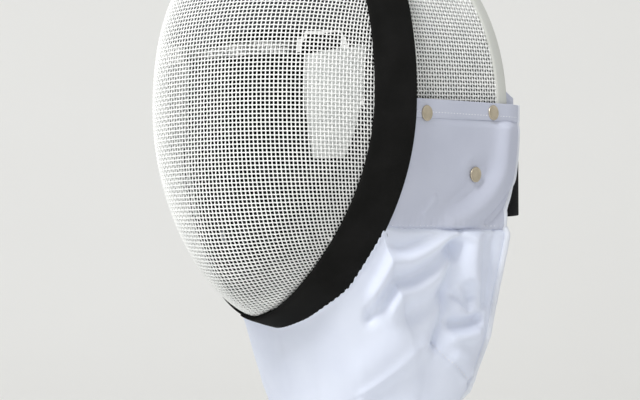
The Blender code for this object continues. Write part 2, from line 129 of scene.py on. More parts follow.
def ring_outward(angle):
    """Unit vector across the joint line, away from the head."""
    along = ring(angle + 0.002) - ring(angle - 0.002)
    return Vector((along.z, 0.0, -along.x)).normalized()


def angle_at(height):
    """Angle at which the joint line on the wearer's left reaches a height."""
    low, high = -TOP, TOP
    for _ in range(30):
        middle = (low + high) / 2.0
        low, high = (middle, high) if ring(middle).z < height else (low, middle)
    return (low + high) / 2.0


# %% The front bowl
DOME_EASE = 2.0 / DOME_POWER
DOME_LOW = math.cos(DOME_ANGLE) ** DOME_EASE


def dome_ahead(spread):
    """How far the dome stands ahead of its edge, from 1 at the nose to 0 at the edge."""
    sine = math.sin(DOME_ANGLE) * spread ** (1.0 / DOME_EASE)
    return ((1.0 - sine * sine) ** (DOME_EASE / 2.0) - DOME_LOW) / (1.0 - DOME_LOW)


DOME_END = 1.02
DOME_END_SLOPE = (dome_ahead(DOME_END) - dome_ahead(DOME_END - 0.001)) / 0.001


def bowl_spread(x, z):
    """Share of the way out from the nose to the edge, and share of the edge's height."""
    wide = abs(x) / HALF_WIDTH
    tall = abs(z) / (CROWN_RISE if z > 0.0 else CHIN_DROP)
    sign = 1.0 if z > 0.0 else -1.0
    power, spread = OUTLINE_POWER, 1.0
    for _ in range(7):
        spread = (wide ** power + tall ** power) ** (1.0 / power) + 1e-9
        power = OUTLINE_POWER + OUTLINE_POWER_CHANGE * sign * (tall / spread) ** (power / 4.0)
    return spread, tall / spread


def bowl_place(x, z):
    """Place on the bowl at x across and z up."""
    spread, rise = bowl_spread(x, z)
    edge = BROW_BACK * rise if z > 0.0 else -CHIN_FORWARD * rise ** 1.6
    inside = min(spread, DOME_END)
    ahead = dome_ahead(inside) + (spread - inside) * DOME_END_SLOPE
    return Vector((x, edge * spread ** 2 - DOME_DEPTH * ahead, z))


def bowl_outward(x, z):
    """Unit vector off the bowl, away from the face."""
    step = 0.0002
    slope_x = (bowl_place(x + step, z).y - bowl_place(x - step, z).y) / (2.0 * step)
    slope_z = (bowl_place(x, z + step).y - bowl_place(x, z - step).y) / (2.0 * step)
    return Vector((slope_x, -1.0, slope_z)).normalized()


# %% The hoop over the head


def rear_edge(angle):
    """Rear edge of the side mesh."""
    up = ring(angle)
    if up.z > 0.0:
        rise = up.z / CROWN_RISE
        across, height = up.x / HALF_WIDTH, REAR_RISE * rise
        depth = REAR_DEPTH - REAR_LEAN * rise ** 2
    else:
        rise = up.z / CHIN_DROP
        across = math.copysign(1.0 - REAR_NARROWING / REAR_HALF_WIDTH * rise ** 2, up.x)
        height, depth = up.z, REAR_DEPTH
    return Vector((REAR_HALF_WIDTH * across, depth, height))


SETBACK = -DOME_DEPTH * dome_ahead((math.sin(BOWL_UNDER_TRIM * DOME_ANGLE)
                                    / math.sin(DOME_ANGLE)) ** DOME_EASE)
SETBACK += WIRE_THICKNESS / 2.0 + GAP


def side(angle, share):
    """Middle of the side mesh: share 0 under the trim, 1 at the rear edge."""
    front = ring(angle) + Vector((0.0, SETBACK, 0.0))
    return front.lerp(rear_edge(angle), share)


def side_outward(angle, share):
    """Unit vector off the side mesh, away from the head."""
    around = side(angle + 0.002, share) - side(angle - 0.002, share)
    along = rear_edge(angle) - side(angle, 0.0)
    return along.cross(around).normalized()


def side_off(angle, share, out):
    """Side mesh moved outwards by a distance, or inwards where it is negative."""
    return side(angle, share) + side_outward(angle, share) * out


def share_at(angle, depth):
    """Share along the side mesh at a depth behind the bowl's middle."""
    front = side(angle, 0.0)
    return (depth - front.y) / (rear_edge(angle).y - front.y)


def on_side(depth, height, out):
    """Place off the wearer's left side at a depth and a height."""
    angle = angle_at(height)
    return side_off(angle, share_at(angle, depth), out)


print("setback of the side mesh, mm:", round(SETBACK * 1000, 2))

# %% [markdown]
# ## Finishes
# A procedural finish is a small network of nodes on a Principled shader. Every finish here
# starts from the same three steps: a soft change of colour, a bump from the weave or the grain,
# and a roughness that belongs to the material.

# %% Node helpers


def new_finish(name, roughness, shine=0.5, **sockets):
    """A material with a Principled shader and its plain values set on the shader."""
    material = bpy.data.materials.new(name)
    material.use_nodes = True
    shader = material.node_tree.nodes["Principled BSDF"]
    shader.inputs["Roughness"].default_value = roughness
    shader.inputs["Specular IOR Level"].default_value = shine
    for socket, value in sockets.items():
        shader.inputs[socket.replace("_", " ")].default_value = value
    return material, shader


def node(material, kind, **values):
    """Add a node and set its named sockets and settings."""
    made = material.node_tree.nodes.new(kind)
    for name, value in values.items():
        if name[0].isupper():
            made.inputs[name].default_value = value
        else:
            setattr(made, name, value)
    return made


def join(material, start, end):
    """Link two sockets."""
    material.node_tree.links.new(start, end)


def coordinates(material, kind, scale=(1.0, 1.0, 1.0)):
    """Pattern coordinates in metres, scaled by a Mapping node."""
    source = node(material, "ShaderNodeTexCoord")
    mapping = node(material, "ShaderNodeMapping")
    mapping.inputs["Scale"].default_value = scale
    join(material, source.outputs[kind], mapping.inputs["Vector"])
    return mapping.outputs["Vector"]


def cloudy(material, shader, space, scale, dark, light):
    """Soft change of base colour between two tones."""
    cloud = node(material, "ShaderNodeTexNoise", Scale=scale, Detail=4.0)
    ramp = node(material, "ShaderNodeValToRGB")
    ramp.color_ramp.elements[0].position = 0.35
    ramp.color_ramp.elements[1].position = 0.65
    ramp.color_ramp.elements[0].color = (*dark, 1.0)
    ramp.color_ramp.elements[1].color = (*light, 1.0)
    join(material, space, cloud.inputs["Vector"])
    join(material, cloud.outputs["Fac"], ramp.inputs["Fac"])
    join(material, ramp.outputs["Color"], shader.inputs["Base Color"])


def bumpy(material, shader, height, distance):
    """Bump from a height output."""
    bump = node(material, "ShaderNodeBump", Distance=distance)
    join(material, height, bump.inputs["Height"])
    join(material, bump.outputs["Normal"], shader.inputs["Normal"])


def grainy(name, roughness, tone_scale, dark, light, grain, shine=0.5, **sockets):
    """A finish with two soft tones and a fine grain: its scale, detail and height."""
    material, shader = new_finish(name, roughness, shine, **sockets)
    space = coordinates(material, "Object")
    cloudy(material, shader, space, tone_scale, dark, light)
    noise = node(material, "ShaderNodeTexNoise", Scale=grain[0], Detail=grain[1])
    join(material, space, noise.inputs["Vector"])
    bumpy(material, shader, noise.outputs["Fac"], grain[2])
    return material


# %% [markdown]
# ### Wire paint
# The steel wire is dipped in a pale coat that is slightly uneven where wires cross. A fine
# noise in colour and bump is enough, because each wire is only a millimetre thick.

# %% Wire finish
wire_paint = grainy("wire paint", 0.42, 90.0, (0.80, 0.81, 0.80), (0.88, 0.885, 0.87),
                    (900.0, 2.0, 0.0001))
print("wire paint has", len(wire_paint.node_tree.nodes), "nodes")

# %% [markdown]
# ### Cloth
# The bib and side panels are tightly woven white cloth with a cool tint. Two crossed wave
# textures on the cloth's own UV map give threads that follow the folds, and a slow noise keeps
# a large flat area from looking like plastic. The panel cloth is the same white cloth painted
# darker: painted shade on the side panels, the strip beside the trim and the ear laps.

# %% Cloth finishes


def weave_bump(material, shader, threads, distance):
    """Bump of a plain weave, with a number of threads in each metre of cloth."""
    space = coordinates(material, "UV", (threads, threads, threads))
    warp = node(material, "ShaderNodeTexWave", Scale=0.5, wave_type="BANDS", bands_direction="X")
    weft = node(material, "ShaderNodeTexWave", Scale=0.5, wave_type="BANDS", bands_direction="Y")
    both = node(material, "ShaderNodeMath", operation="MULTIPLY")
    for index, thread in enumerate((warp, weft)):
        join(material, space, thread.inputs["Vector"])
        join(material, thread.outputs["Fac"], both.inputs[index])
    bumpy(material, shader, both.outputs["Value"], distance)


def cloth_finish(name, dark, light, threads, distance, shine=0.3):
    """White or dark cloth with its weave on the UV map."""
    material, shader = new_finish(name, 0.8, shine)
    cloudy(material, shader, coordinates(material, "Object"), 16.0, dark, light)
    weave_bump(material, shader, threads, distance)
    return material


white_cloth = cloth_finish("white cloth", (0.71, 0.755, 0.88), (0.77, 0.815, 0.93), 1400.0, 0.0001)
# The same white cloth, darker: painted shade for the panels, the strip by the trim and the ear
# laps.
painted_shade_cloth = cloth_finish("white cloth with painted shade", (0.53, 0.557, 0.665), (0.57, 0.597, 0.705), 1400.0,
                           0.0001)
edge_tape = cloth_finish("edge tape", (0.74, 0.77, 0.84), (0.80, 0.83, 0.90), 1800.0, 0.00008)
rim_tape = cloth_finish("rim tape", (0.53, 0.54, 0.51), (0.57, 0.58, 0.55), 1600.0, 0.00005)
dark_cloth = cloth_finish("dark lining cloth", (0.006, 0.006, 0.007), (0.010, 0.010, 0.011),
                          1200.0, 0.0002, 0.05)
brow_cloth = cloth_finish("grey brow cloth", (0.045, 0.047, 0.055), (0.060, 0.062, 0.072),
                          1200.0, 0.0002, 0.05)
pad_cloth = cloth_finish("pad cloth", (0.90, 0.92, 0.91), (0.94, 0.96, 0.95), 1200.0, 0.0001)
elastic = cloth_finish("ribbed elastic", (0.006, 0.006, 0.007), (0.010, 0.010, 0.011),
                       500.0, 0.0004, 0.1)

# %% [markdown]
# The crown lining is dark in front and painted pale towards the rear: painted light, where light
# comes in at the open back. Its colour follows the lengthwise direction of the cloth's UV map.

# %% Crown cloth
crown_cloth_with_painted_light, crown_shader = new_finish("crown lining cloth with painted light", 0.8, 0.05)
crown_split = node(crown_cloth_with_painted_light, "ShaderNodeSeparateXYZ")
join(crown_cloth_with_painted_light, coordinates(crown_cloth_with_painted_light, "UV"), crown_split.inputs["Vector"])
# The ramp turns from black in front to pale at the rear: painted light.
crown_painted_light_ramp = node(crown_cloth_with_painted_light, "ShaderNodeValToRGB")
for stop, place, tone in zip(crown_painted_light_ramp.color_ramp.elements, (0.078, 0.118),
                             ((0.008, 0.008, 0.009, 1.0), (0.50, 0.52, 0.53, 1.0))):
    stop.position, stop.color = place, tone
join(crown_cloth_with_painted_light, crown_split.outputs["Y"], crown_painted_light_ramp.inputs["Fac"])
join(crown_cloth_with_painted_light, crown_painted_light_ramp.outputs["Color"], crown_shader.inputs["Base Color"])
weave_bump(crown_cloth_with_painted_light, crown_shader, 1200.0, 0.0002)

# %% [markdown]
# ### Trim, caps and thread
# The trim is a smooth dark coated tape, and the caps are satin nickel with a warm tone. Both have
# a fine grain, as the wire's paint does. The thread is a lighter white than the cloth.

# %% Other finishes
trim_tape = grainy("dark trim", 0.75, 40.0, (0.0085, 0.0086, 0.0082), (0.0115, 0.0115, 0.0112),
                   (1400.0, 3.0, 0.0002), shine=0.03)
nickel = grainy("satin nickel", 0.38, 160.0, (0.50, 0.44, 0.33), (0.60, 0.53, 0.41),
                (2600.0, 2.0, 0.00005), Metallic=1.0)
thread, thread_shader = new_finish("white thread", 0.7)
cloudy(thread, thread_shader, coordinates(thread, "Object"), 300.0, (0.78, 0.79, 0.84),
       (0.86, 0.87, 0.91))
print("finishes so far:", len(bpy.data.materials))

# %% [markdown]
# ## From a form to a piece
# Most pieces are a flat grid whose corners are laid on a form. The grid also gets a UV map in
# metres before it is bent, the way cloth is cut flat before it is sewn. A Solidify modifier
# then gives it the real wall.

# %% Piece helpers
HEAD_MIDDLE = Vector((0.0, 0.060, -0.030))


def link_piece(name, mesh, material, slot, *nodes):
    """Put a mesh into the scene as a piece that stands for some of the solids."""
    made = bpy.data.objects.new(name, mesh)
    bpy.context.scene.collection.objects.link(made)
    if not made.data.materials:
        made.data.materials.append(material)
    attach(made, "root")
    if nodes:
        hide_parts(*nodes)
    print(name, "has", len(mesh.polygons), "faces")
    return made


def kept_mesh(name, shape):
    """Keep a bmesh as a mesh, and free it."""
    mesh = bpy.data.meshes.new(name)
    shape.to_mesh(mesh)
    shape.free()
    return mesh


def laid_grid(name, place, across, down, size, closed=False):
    """Mesh of a grid laid on place(u, v), with a UV map in metres, faced away from the head."""
    shape = bmesh.new()
    bmesh.ops.create_grid(shape, x_segments=across, y_segments=down, size=0.5)
    flat = shape.loops.layers.uv.new("cloth")
    for face in shape.faces:
        face.smooth = True
        for loop in face.loops:
            loop[flat].uv = ((loop.vert.co.x + 0.5) * size[0], (loop.vert.co.y + 0.5) * size[1])
    for corner in shape.verts:
        corner.co = seat(place(corner.co.x + 0.5, corner.co.y + 0.5))
    if closed:
        bmesh.ops.remove_doubles(shape, verts=shape.verts, dist=0.00002)
        ends = [edge for edge in shape.edges if edge.is_boundary]
        if ends:
            bmesh.ops.holes_fill(shape, edges=ends, sides=0)
        bmesh.ops.recalc_face_normals(shape, faces=shape.faces)
    else:
        shape.normal_update()
        middle = seat(HEAD_MIDDLE)
        facing = sum(face.normal.dot(face.calc_center_median() - middle) for face in shape.faces)
        if facing < 0.0:
            bmesh.ops.reverse_faces(shape, faces=shape.faces)
    return kept_mesh(name, shape)


def add_wall(piece, thickness, inward=True, round_edge=0.0):
    """Give a sheet its wall, and round the wall's edges."""
    wall = piece.modifiers.new("wall", "SOLIDIFY")
    wall.thickness = thickness
    wall.offset = -1.0 if inward else 1.0
    if round_edge:
        edge = piece.modifiers.new("edge", "BEVEL")
        edge.width = round_edge
        edge.segments = 3
        edge.angle_limit = math.radians(50.0)
    return piece


# %% [markdown]
# ## Weaving the wire
# Woven wire can't stretch along its wires, but its square holes can lean into diamonds. So a
# flat sheet is draped over a dome the way a fishing net is: start with one upright and one
# level wire through the nose, and find each next crossing one pitch away from its two
# neighbours. That gives the holes the lean that they have on a real bowl.

# %% Draping the bowl's net
PITCH = 0.0031
NET_LEVEL = -0.006


def next_crossing(a, b, guess):
    """Crossing on the bowl that is one pitch from both a and b, searched from a guess."""
    x, z, step = guess.x, guess.z, 0.00002
    for _ in range(4):
        here = bowl_place(x, z)
        slope_x = (bowl_place(x + step, z).y - here.y) / step
        slope_z = (bowl_place(x, z + step).y - here.y) / step
        to_a, to_b = here - a, here - b
        miss_a = to_a.length_squared - PITCH * PITCH
        miss_b = to_b.length_squared - PITCH * PITCH
        ax, az = 2.0 * (to_a.x + to_a.y * slope_x), 2.0 * (to_a.z + to_a.y * slope_z)
        bx, bz = 2.0 * (to_b.x + to_b.y * slope_x), 2.0 * (to_b.z + to_b.y * slope_z)
        area = ax * bz - az * bx
        if abs(area) < 1e-9:
            break
        move_x = (miss_a * bz - miss_b * az) / area
        move_z = (miss_b * ax - miss_a * bx) / area
        limit = max(abs(move_x), abs(move_z), PITCH) / PITCH
        x, z = x - move_x / limit, z - move_z / limit
    return bowl_place(x, z)


def straight_wire(place_at, start, count, sign):
    """Crossings one pitch apart along a line on the bowl."""
    found, value = [place_at(start)], start
    for _ in range(count):
        here, reach = found[-1], sign * PITCH * 0.7
        for _ in range(6):
            ahead = place_at(value + reach)
            reach *= PITCH / (ahead - here).length
        value += reach
        found.append(place_at(value))
    return found


def drape_bowl(columns, up_rows, down_rows, end):
    """Every crossing of the bowl's net, keyed by column and row."""
    net = {}
    middle = straight_wire(lambda x: bowl_place(x, NET_LEVEL), 0.0, columns, 1.0)
    for column, place in enumerate(middle):
        net[(column, 0)] = place
    for sign, rows in ((1, up_rows), (-1, down_rows)):
        upright = straight_wire(lambda z: bowl_place(0.0, z), NET_LEVEL, rows, float(sign))
        for row in range(1, rows + 1):
            net[(0, sign * row)] = upright[row]
        for column in range(1, columns + 1):
            for row in range(1, rows + 1):
                left, below = net.get((column - 1, sign * row)), net.get((column, sign * (row - 1)))
                corner = net.get((column - 1, sign * (row - 1)))
                if left is None or below is None or corner is None:
                    continue
                if min(bowl_spread(p.x, p.z)[0] for p in (left, below)) > end + 0.05:
                    continue
                net[(column, sign * row)] = next_crossing(left, below, left + below - corner)
    for (column, row), place in list(net.items()):
        net[(-column, row)] = Vector((-place.x, place.y, place.z))
    return net


BOWL_END = 1.009
bowl_net = {}
for key, place in drape_bowl(48, 66, 74, BOWL_END).items():
    room = (BOWL_END - bowl_spread(place.x, place.z)[0]) * HALF_WIDTH
    bowl_net[key] = (place, bowl_outward(place.x, place.z), room)
print("crossings inside the bowl:", sum(1 for crossing in bowl_net.values() if crossing[2] > 0.0))

# %% [markdown]
# The hoop over the head is nearly a piece of a tube, so its net is simpler. One set of wires
# runs round it at equal depths, and the other runs from front to back at equal lengths from
# the top of the head.

# %% Netting the hoop


def hoop_round(depth, low, steps):
    """Angles and lengths round the hoop at one depth, counted from the top."""
    angles = [mix(TOP, low, index / steps) for index in range(steps + 1)]
    lengths, before = [0.0], side(TOP, share_at(TOP, depth))
    for angle in angles[1:]:
        here = side(angle, share_at(angle, depth))
        lengths.append(lengths[-1] + (here - before).length)
        before = here
    return angles, lengths


def hoop_net():
    """Every crossing of the side mesh, keyed by depth and by count from the top."""
    net, low = {}, angle_at(SIDE_LOW)
    columns = int((REAR_DEPTH + 0.006 - SETBACK) / PITCH) + 2
    for column in range(-8, columns):
        depth = SETBACK + column * PITCH
        angles, lengths = hoop_round(depth, low - 0.06, 220)
        spot = 0
        for row in range(int(lengths[-1] / PITCH)):
            while lengths[spot + 1] < row * PITCH:
                spot += 1
            part = (row * PITCH - lengths[spot]) / (lengths[spot + 1] - lengths[spot])
            angle = mix(angles[spot], angles[spot + 1], part)
            share = share_at(angle, depth)
            depth_room = (rear_edge(angle).y - SETBACK) * min(share, 1.0 - share)
            place, out = side(angle, share), side_outward(angle, share)
            room = min(depth_room, place.z - SIDE_LOW)
            net[(column, row)] = (place, out, room)
            net[(column, -row)] = (Vector((-place.x, place.y, place.z)),
                                   Vector((-out.x, out.y, out.z)), room)
    return net


side_net = hoop_net()
print("crossings in the hoop:", sum(1 for crossing in side_net.values() if crossing[2] > 0.0))

# %% [markdown]
# In a plain weave each wire goes over one neighbour and under the next. So each centre line is
# lifted at one crossing, level half way, and lowered at the next. A curve object with a round
# bevel turns the centre lines into wires, and the curve is then made a mesh. The dipped coat
# gathers where wires cross, so each wire is a little thicker there and the holes look rounded.

# %% Wires from a net
WIRE_RADIUS = {"bowl": 0.00051, "hoop": 0.00062}
WIRE_LIFT = 0.00048
COAT_AT_CROSSING, COAT_BETWEEN = 1.16, 0.94


def centre_lines(net, direction):
    """Centre lines of the wires along one direction, as places with their coat's thickness."""
    lanes = {}
    for key in net:
        lanes.setdefault(key[1 - direction], []).append(key)
    lines = []
    for keys in lanes.values():
        keys.sort()
        line = []
        for here, ahead in zip(keys, keys[1:]):
            place, out, room = net[here]
            next_place, _, next_room = net[ahead]
            if room > 0.0:
                lift = WIRE_LIFT if (here[0] + here[1] + direction) % 2 else -WIRE_LIFT
                line.append((place + out * lift, COAT_AT_CROSSING))
            if (room > 0.0) != (next_room > 0.0):
                line.append((place.lerp(next_place, room / (room - next_room)), 1.0))
            elif room > 0.0:
                line.append(((place + next_place) / 2.0, COAT_BETWEEN))
            if room > 0.0 >= next_room:
                lines.append(line)
                line = []
        if len(line) > 1:
            lines.append(line)
    return [line for line in lines if len(line) > 2]


def tube_mesh(name, lines, radius, roundness):
    """Mesh of round tubes along lines of places with their share of the radius."""
    curve = bpy.data.curves.new(name, "CURVE")
    curve.dimensions = "3D"
    curve.bevel_depth = radius
    curve.bevel_resolution = roundness
    curve.use_fill_caps = True
    for line in lines:
        spline = curve.splines.new("POLY")
        spline.points.add(len(line) - 1)
        for point, (place, coat) in zip(spline.points, line):
            point.co = (*seat(place), 1.0)
            point.radius = coat
    holder = bpy.data.objects.new(name + "_line", curve)
    mesh = bpy.data.meshes.new_from_object(holder)
    bpy.data.objects.remove(holder)
    mesh.name = name
    for face in mesh.polygons:
        face.use_smooth = True
    return mesh


for name, net, direction, nodes in (("bowl_level", bowl_net, 0, ("front_mesh",)),
                                    ("bowl_upright", bowl_net, 1, ()),
                                    ("hoop_lengthwise", side_net, 0, ("side_mesh",)),
                                    ("hoop_round", side_net, 1, ())):
    mesh = tube_mesh(name + "_wires", centre_lines(net, direction),
                     WIRE_RADIUS[name.split("_")[0]], 1)
    link_piece(name + "_wires", mesh, wire_paint, "wire", *nodes)

# %% [markdown]
# ## Dark trim
# The trim is one band round the whole joint, folded at both edges. Its section is a flat loop
# with rounded ends, carried round the joint line. It flares towards the rear, less so on the far
# side and under the chin, where the near end laps over the other end and stands off it.

# %% Front trim
FAR_FLARE_LOSS = 0.75


def flare(angle):
    """Angle at which the trim spreads away from the head."""
    down = max(-math.sin(angle), 0.0)
    jaw = mix(TRIM_FLARE, TRIM_FLARE_JAW, smooth(down * 1.4))
    far = smooth(-math.cos(angle) * 5.0) * smooth(down * 2.0)
    chin = mix(jaw, TRIM_FLARE_CHIN, smooth((down - 0.82) / 0.18))
    return chin * (1.0 - FAR_FLARE_LOSS * far)


def trim_width(angle):
    """Width of the trim, narrower under the chin."""
    down = max(-math.sin(angle), 0.0)
    return mix(TRIM_WIDTH, TRIM_WIDTH_CHIN, smooth((down - 0.80) * 5.0))


def trim_point(angle, back, out):
    """Place on the trim: back along its width, out from the wire's middle."""
    tilt = flare(angle)
    away = ring_outward(angle)
    rearward = Vector((0.0, 1.0, 0.0))
    along = away * math.sin(tilt) + rearward * math.cos(tilt)
    off = away * math.cos(tilt) - rearward * math.sin(tilt)
    return ring(angle) + along * back + off * out


def flat_loop(share, half_width, half_height, corner=0.22):
    """Flat closed loop with rounded ends: a pair of places along and off its middle."""
    turn = 2.0 * math.pi * share
    along = half_width * signed_power(math.cos(turn), corner)
    return along, half_height * signed_power(math.sin(turn), 0.5)


LAP_OVER, LAP_UNDER, LAP_EASE, LAP_LIFT, LAP_STAND = 0.17, 0.22, 0.60, 0.0027, 0.0016
TRIM_STAND, TRIM_COAT, TRIM_BULGE = 0.0014, 0.0003, 0.0004


def trim_place(u, v):
    """Trim surface: u along the band from its upper end at the chin, v round its section."""
    angle = mix(-TOP - LAP_OVER, 3.0 * TOP + LAP_UNDER, u)
    half = trim_width(angle) / 2.0
    along, off = flat_loop(v, half, TRIM_THICKNESS / 2.0 + TRIM_COAT)
    bulge = TRIM_BULGE * (1.0 - (along / half) ** 2)
    over = 1.0 - smooth((angle + TOP - LAP_UNDER) / LAP_EASE)
    lift = over * (LAP_LIFT + LAP_STAND * along / half)
    out = WIRE_THICKNESS / 2.0 + TRIM_STAND + off + bulge + lift
    return trim_point(angle, half + along, out)


trim_mesh = laid_grid("trim_band", trim_place, 240, 24, (0.80, 0.08), closed=True)
link_piece("trim_band", trim_mesh, trim_tape, "trim", "front_trim")

# %% [markdown]
# ## Rim tape
# A pale tape is folded over the rear edge of the side mesh. Its section is the same flat loop,
# wide enough to hide the ends of the wires.

# %% Rear rim
RIM_WIDTH = 0.0120
low_angle = angle_at(SIDE_LOW)


def rim_place(u, v):
    """Rim tape: u round the hoop, v round the tape's section."""
    angle = mix(low_angle, math.pi - low_angle, u)
    along, off = flat_loop(v, RIM_WIDTH / 2.0, WIRE_THICKNESS / 2.0 + GAP + RIM_WALL, 0.3)
    length = (rear_edge(angle) - side(angle, 0.0)).length
    back = (RIM_WALL + GAP - RIM_WIDTH / 2.0 + along) / length
    return side_off(angle, 1.0 + back, off)


rim_mesh = laid_grid("rim_band", rim_place, 150, 20, (0.6, 0.03), closed=True)
link_piece("rim_band", rim_mesh, rim_tape, "tape", "back_rim")

# %% [markdown]
# ## Folds in cloth
# A fold is a long soft hill or valley. Each one is a short line on the cloth with a width and a
# height, and a point of the cloth moves by a bell curve of its distance from that line. The
# lines were chosen from the photograph. Their corners are rounded before they are used,
# because a sharp corner in a line shows as a crease across the fold.

# %% Fold helper


def line_distance(across, down, line):
    """Distance from a point of the cloth to a line of points."""
    best = 9.0
    for (x0, y0), (x1, y1) in zip(line, line[1:]):
        run_x, run_y = x1 - x0, y1 - y0
        along = ((across - x0) * run_x + (down - y0) * run_y) / (run_x ** 2 + run_y ** 2)
        along = min(max(along, 0.0), 1.0)
        best = min(best, math.hypot(across - x0 - along * run_x, down - y0 - along * run_y))
    return best


def rounded(line):
    """The same line with its corners cut twice, so that a fold bends softly."""
    for _ in range(2):
        cut = [line[0]]
        for (x0, y0), (x1, y1) in zip(line, line[1:]):
            cut += [(mix(x0, x1, part), mix(y0, y1, part)) for part in (0.25, 0.75)]
        line = cut + [line[-1]]
    return line


def soft(folds):
    """Folds with rounded lines."""
    return [(width, height, rounded(line)) for width, height, line in folds]


def folded(across, down, folds):
    """Height of all the folds at a point of the cloth."""
    return sum(height * math.exp(-(line_distance(across, down, line) / width) ** 2)
               for width, height, line in folds)


# %% [markdown]
# ## Side panels
# Each side has a cloth panel over the lower mesh. Its top edge is a double hem with a row of
# stitches, its rear edge rolls round behind the rim tape, and a few soft folds cross its lower
# half. The folds are given by depth and height on the panel, in metres.

# %% Side panels
PANEL_TOP, PANEL_TOP_RISE, PANEL_BOTTOM = 0.0010, 0.0040, -0.0940
PANEL_FRONT, PANEL_PAST_RIM, PANEL_PAST_RIM_LOW = 0.0260, 0.0165, -0.0040
CLOTH_THICKNESS, HEM_WIDTH, HEM_STEP, PANEL_PUFF = 0.0022, 0.0125, 0.0010, 0.0016
PANEL_OUT = WIRE_THICKNESS / 2.0 + GAP + RIM_WALL + GAP
ROLL_START, ROLL_RADIUS = REAR_DEPTH + 0.0002, 0.0450
PANEL_FOLDS = soft((
    (0.0090, 0.0042, ((0.150, -0.002), (0.150, -0.012), (0.148, -0.032), (0.146, -0.050),
                      (0.136, -0.064), (0.122, -0.076), (0.108, -0.084), (0.094, -0.088))),
    (0.0040, -0.0036, ((0.162, -0.062), (0.156, -0.068), (0.146, -0.078), (0.134, -0.088))),
    (0.0100, -0.0022, ((0.126, -0.050), (0.112, -0.066), (0.092, -0.078))),
    (0.0030, 0.0013, ((0.072, -0.072), (0.065, -0.080))),
    (0.0160, -0.0018, ((0.060, -0.030), (0.090, -0.045))),
))
PUCKER_HEIGHT, PUCKER_REACH, CAP_DENT, CAP_DENT_EASE = 0.0003, 0.007, 0.005, 0.010
CAP_SPOTS = {"front": (0.0546, -0.0089), "rear": (0.1346, -0.0036), "low": (0.1154, -0.0522)}


def panel_past(down):
    """Depth of the panel's rear edge."""
    return REAR_DEPTH + mix(PANEL_PAST_RIM, PANEL_PAST_RIM_LOW, min(down / 0.85, 1.0) ** 2)


def panel_spot(u, v):
    """Depth and height on the panel."""
    height = mix(PANEL_TOP + PANEL_TOP_RISE * u, PANEL_BOTTOM, v)
    front = PANEL_FRONT + ring(angle_at(height)).y
    return mix(front, panel_past(v), u), height


def panel_relief(u, v):
    """How far folds, hem and seam lift the panel."""
    depth, height = panel_spot(u, v)
    below = PANEL_TOP + PANEL_TOP_RISE * u - height
    hem = HEM_STEP * (1.0 - smooth((below - HEM_WIDTH) / 0.0010))
    calm = smooth((below - HEM_WIDTH) / 0.008) * smooth((height - PANEL_BOTTOM) / 0.004)
    cap_depth, cap_height = CAP_SPOTS["low"]
    pressed = smooth((math.hypot(depth - cap_depth, height - cap_height) - CAP_DENT)
                     / CAP_DENT_EASE)
    near_seam = math.exp(-((height - PANEL_BOTTOM) / PUCKER_REACH) ** 2)
    pucker = PUCKER_HEIGHT * math.sin(depth * 1150.0) * near_seam
    return hem + pucker + (PANEL_PUFF + folded(depth, height, PANEL_FOLDS)) * calm * pressed


def panel_place(u, v, lift=0.0):
    """Outer face of the left panel, with its rear edge rolled in behind the rim."""
    depth, height = panel_spot(u, v)
    past = max(depth - ROLL_START, 0.0)
    turn = past / ROLL_RADIUS
    out = PANEL_OUT + max(panel_relief(u, v), 0.0) + lift
    place = on_side(min(depth, ROLL_START), height, out)
    place.x -= ROLL_RADIUS * (1.0 - math.cos(turn))
    place.y += ROLL_RADIUS * math.sin(turn)
    return place


def mirrored(place_at, hand):
    """The same form on the wearer's left (1) or right (-1)."""
    def place(u, v):
        here = place_at(u, v)
        return Vector((here.x * hand, here.y, here.z))
    return place


HANDS = (("left", 1.0), ("right", -1.0))
for name, hand in HANDS:
    mesh = laid_grid("panel_" + name, mirrored(panel_place, hand), 110, 150, (0.135, 0.096))
    # The panel's outer cloth is the white cloth painted darker, as painted shade.
    mesh.materials.append(painted_shade_cloth)
    mesh.materials.append(dark_cloth)
    panel = link_piece("panel_" + name, mesh, painted_shade_cloth, "cloth", "side_panel_" + name)
    add_wall(panel, CLOTH_THICKNESS, inward=False)
    panel.modifiers["wall"].material_offset = 1

# %% [markdown]
# ## Bib
# The bib is one big cloth that hangs from the panels and the trim and narrows towards the
# throat. Its sections are rows of a short table, as shares of the mask's sizes. On top of that
# plain form come the folds and the sunk seams that the photograph shows on its near side.

# %% Bib form
BIB_THICKNESS, BIB_DROP, BIB_CORNER, BIB_POINTED = 0.0030, 0.2960, 0.40, 1.20
BIB_COLUMNS = ("down", "width", "rear", "front", "rear_height", "front_height")
BIB_SECTIONS = (
    (0.00, 0.985, 0.985, 0.060, 0.318, 0.575),
    (0.25, 0.950, 0.970, 0.085, 0.450, 0.690),
    (0.50, 0.880, 0.962, 0.105, 0.600, 0.800),
    (0.75, 0.775, 0.890, 0.125, 0.745, 0.905),
    (1.00, 0.610, 0.740, 0.140, 0.850, 1.000),
)
FAR_TURN_IN, FAR_TURN_SHARE = 0.0480, 0.30


def bib_row(down):
    """Values of the section table at a share of the way down."""
    for upper, lower in zip(BIB_SECTIONS, BIB_SECTIONS[1:]):
        if down <= lower[0] + 1e-9:
            share = (down - upper[0]) / (lower[0] - upper[0])
            return dict(zip(BIB_COLUMNS, (mix(a, b, share) for a, b in zip(upper, lower))))
    return dict(zip(BIB_COLUMNS, BIB_SECTIONS[-1]))


def bib_section(around, down):
    """The bib's plain form: around runs 0 to 1 from the left rear edge to the right one."""
    row, turn = bib_row(down), math.pi * around
    ahead = math.sin(turn) ** BIB_POINTED
    height = -mix(row["rear_height"], row["front_height"], math.sin(turn)) * BIB_DROP
    depth = mix(row["rear"] * REAR_DEPTH, row["front"] * BIB_DROP, ahead)
    return Vector((row["width"] * REAR_HALF_WIDTH * signed_power(math.cos(turn), BIB_POINTED),
                   depth, height))


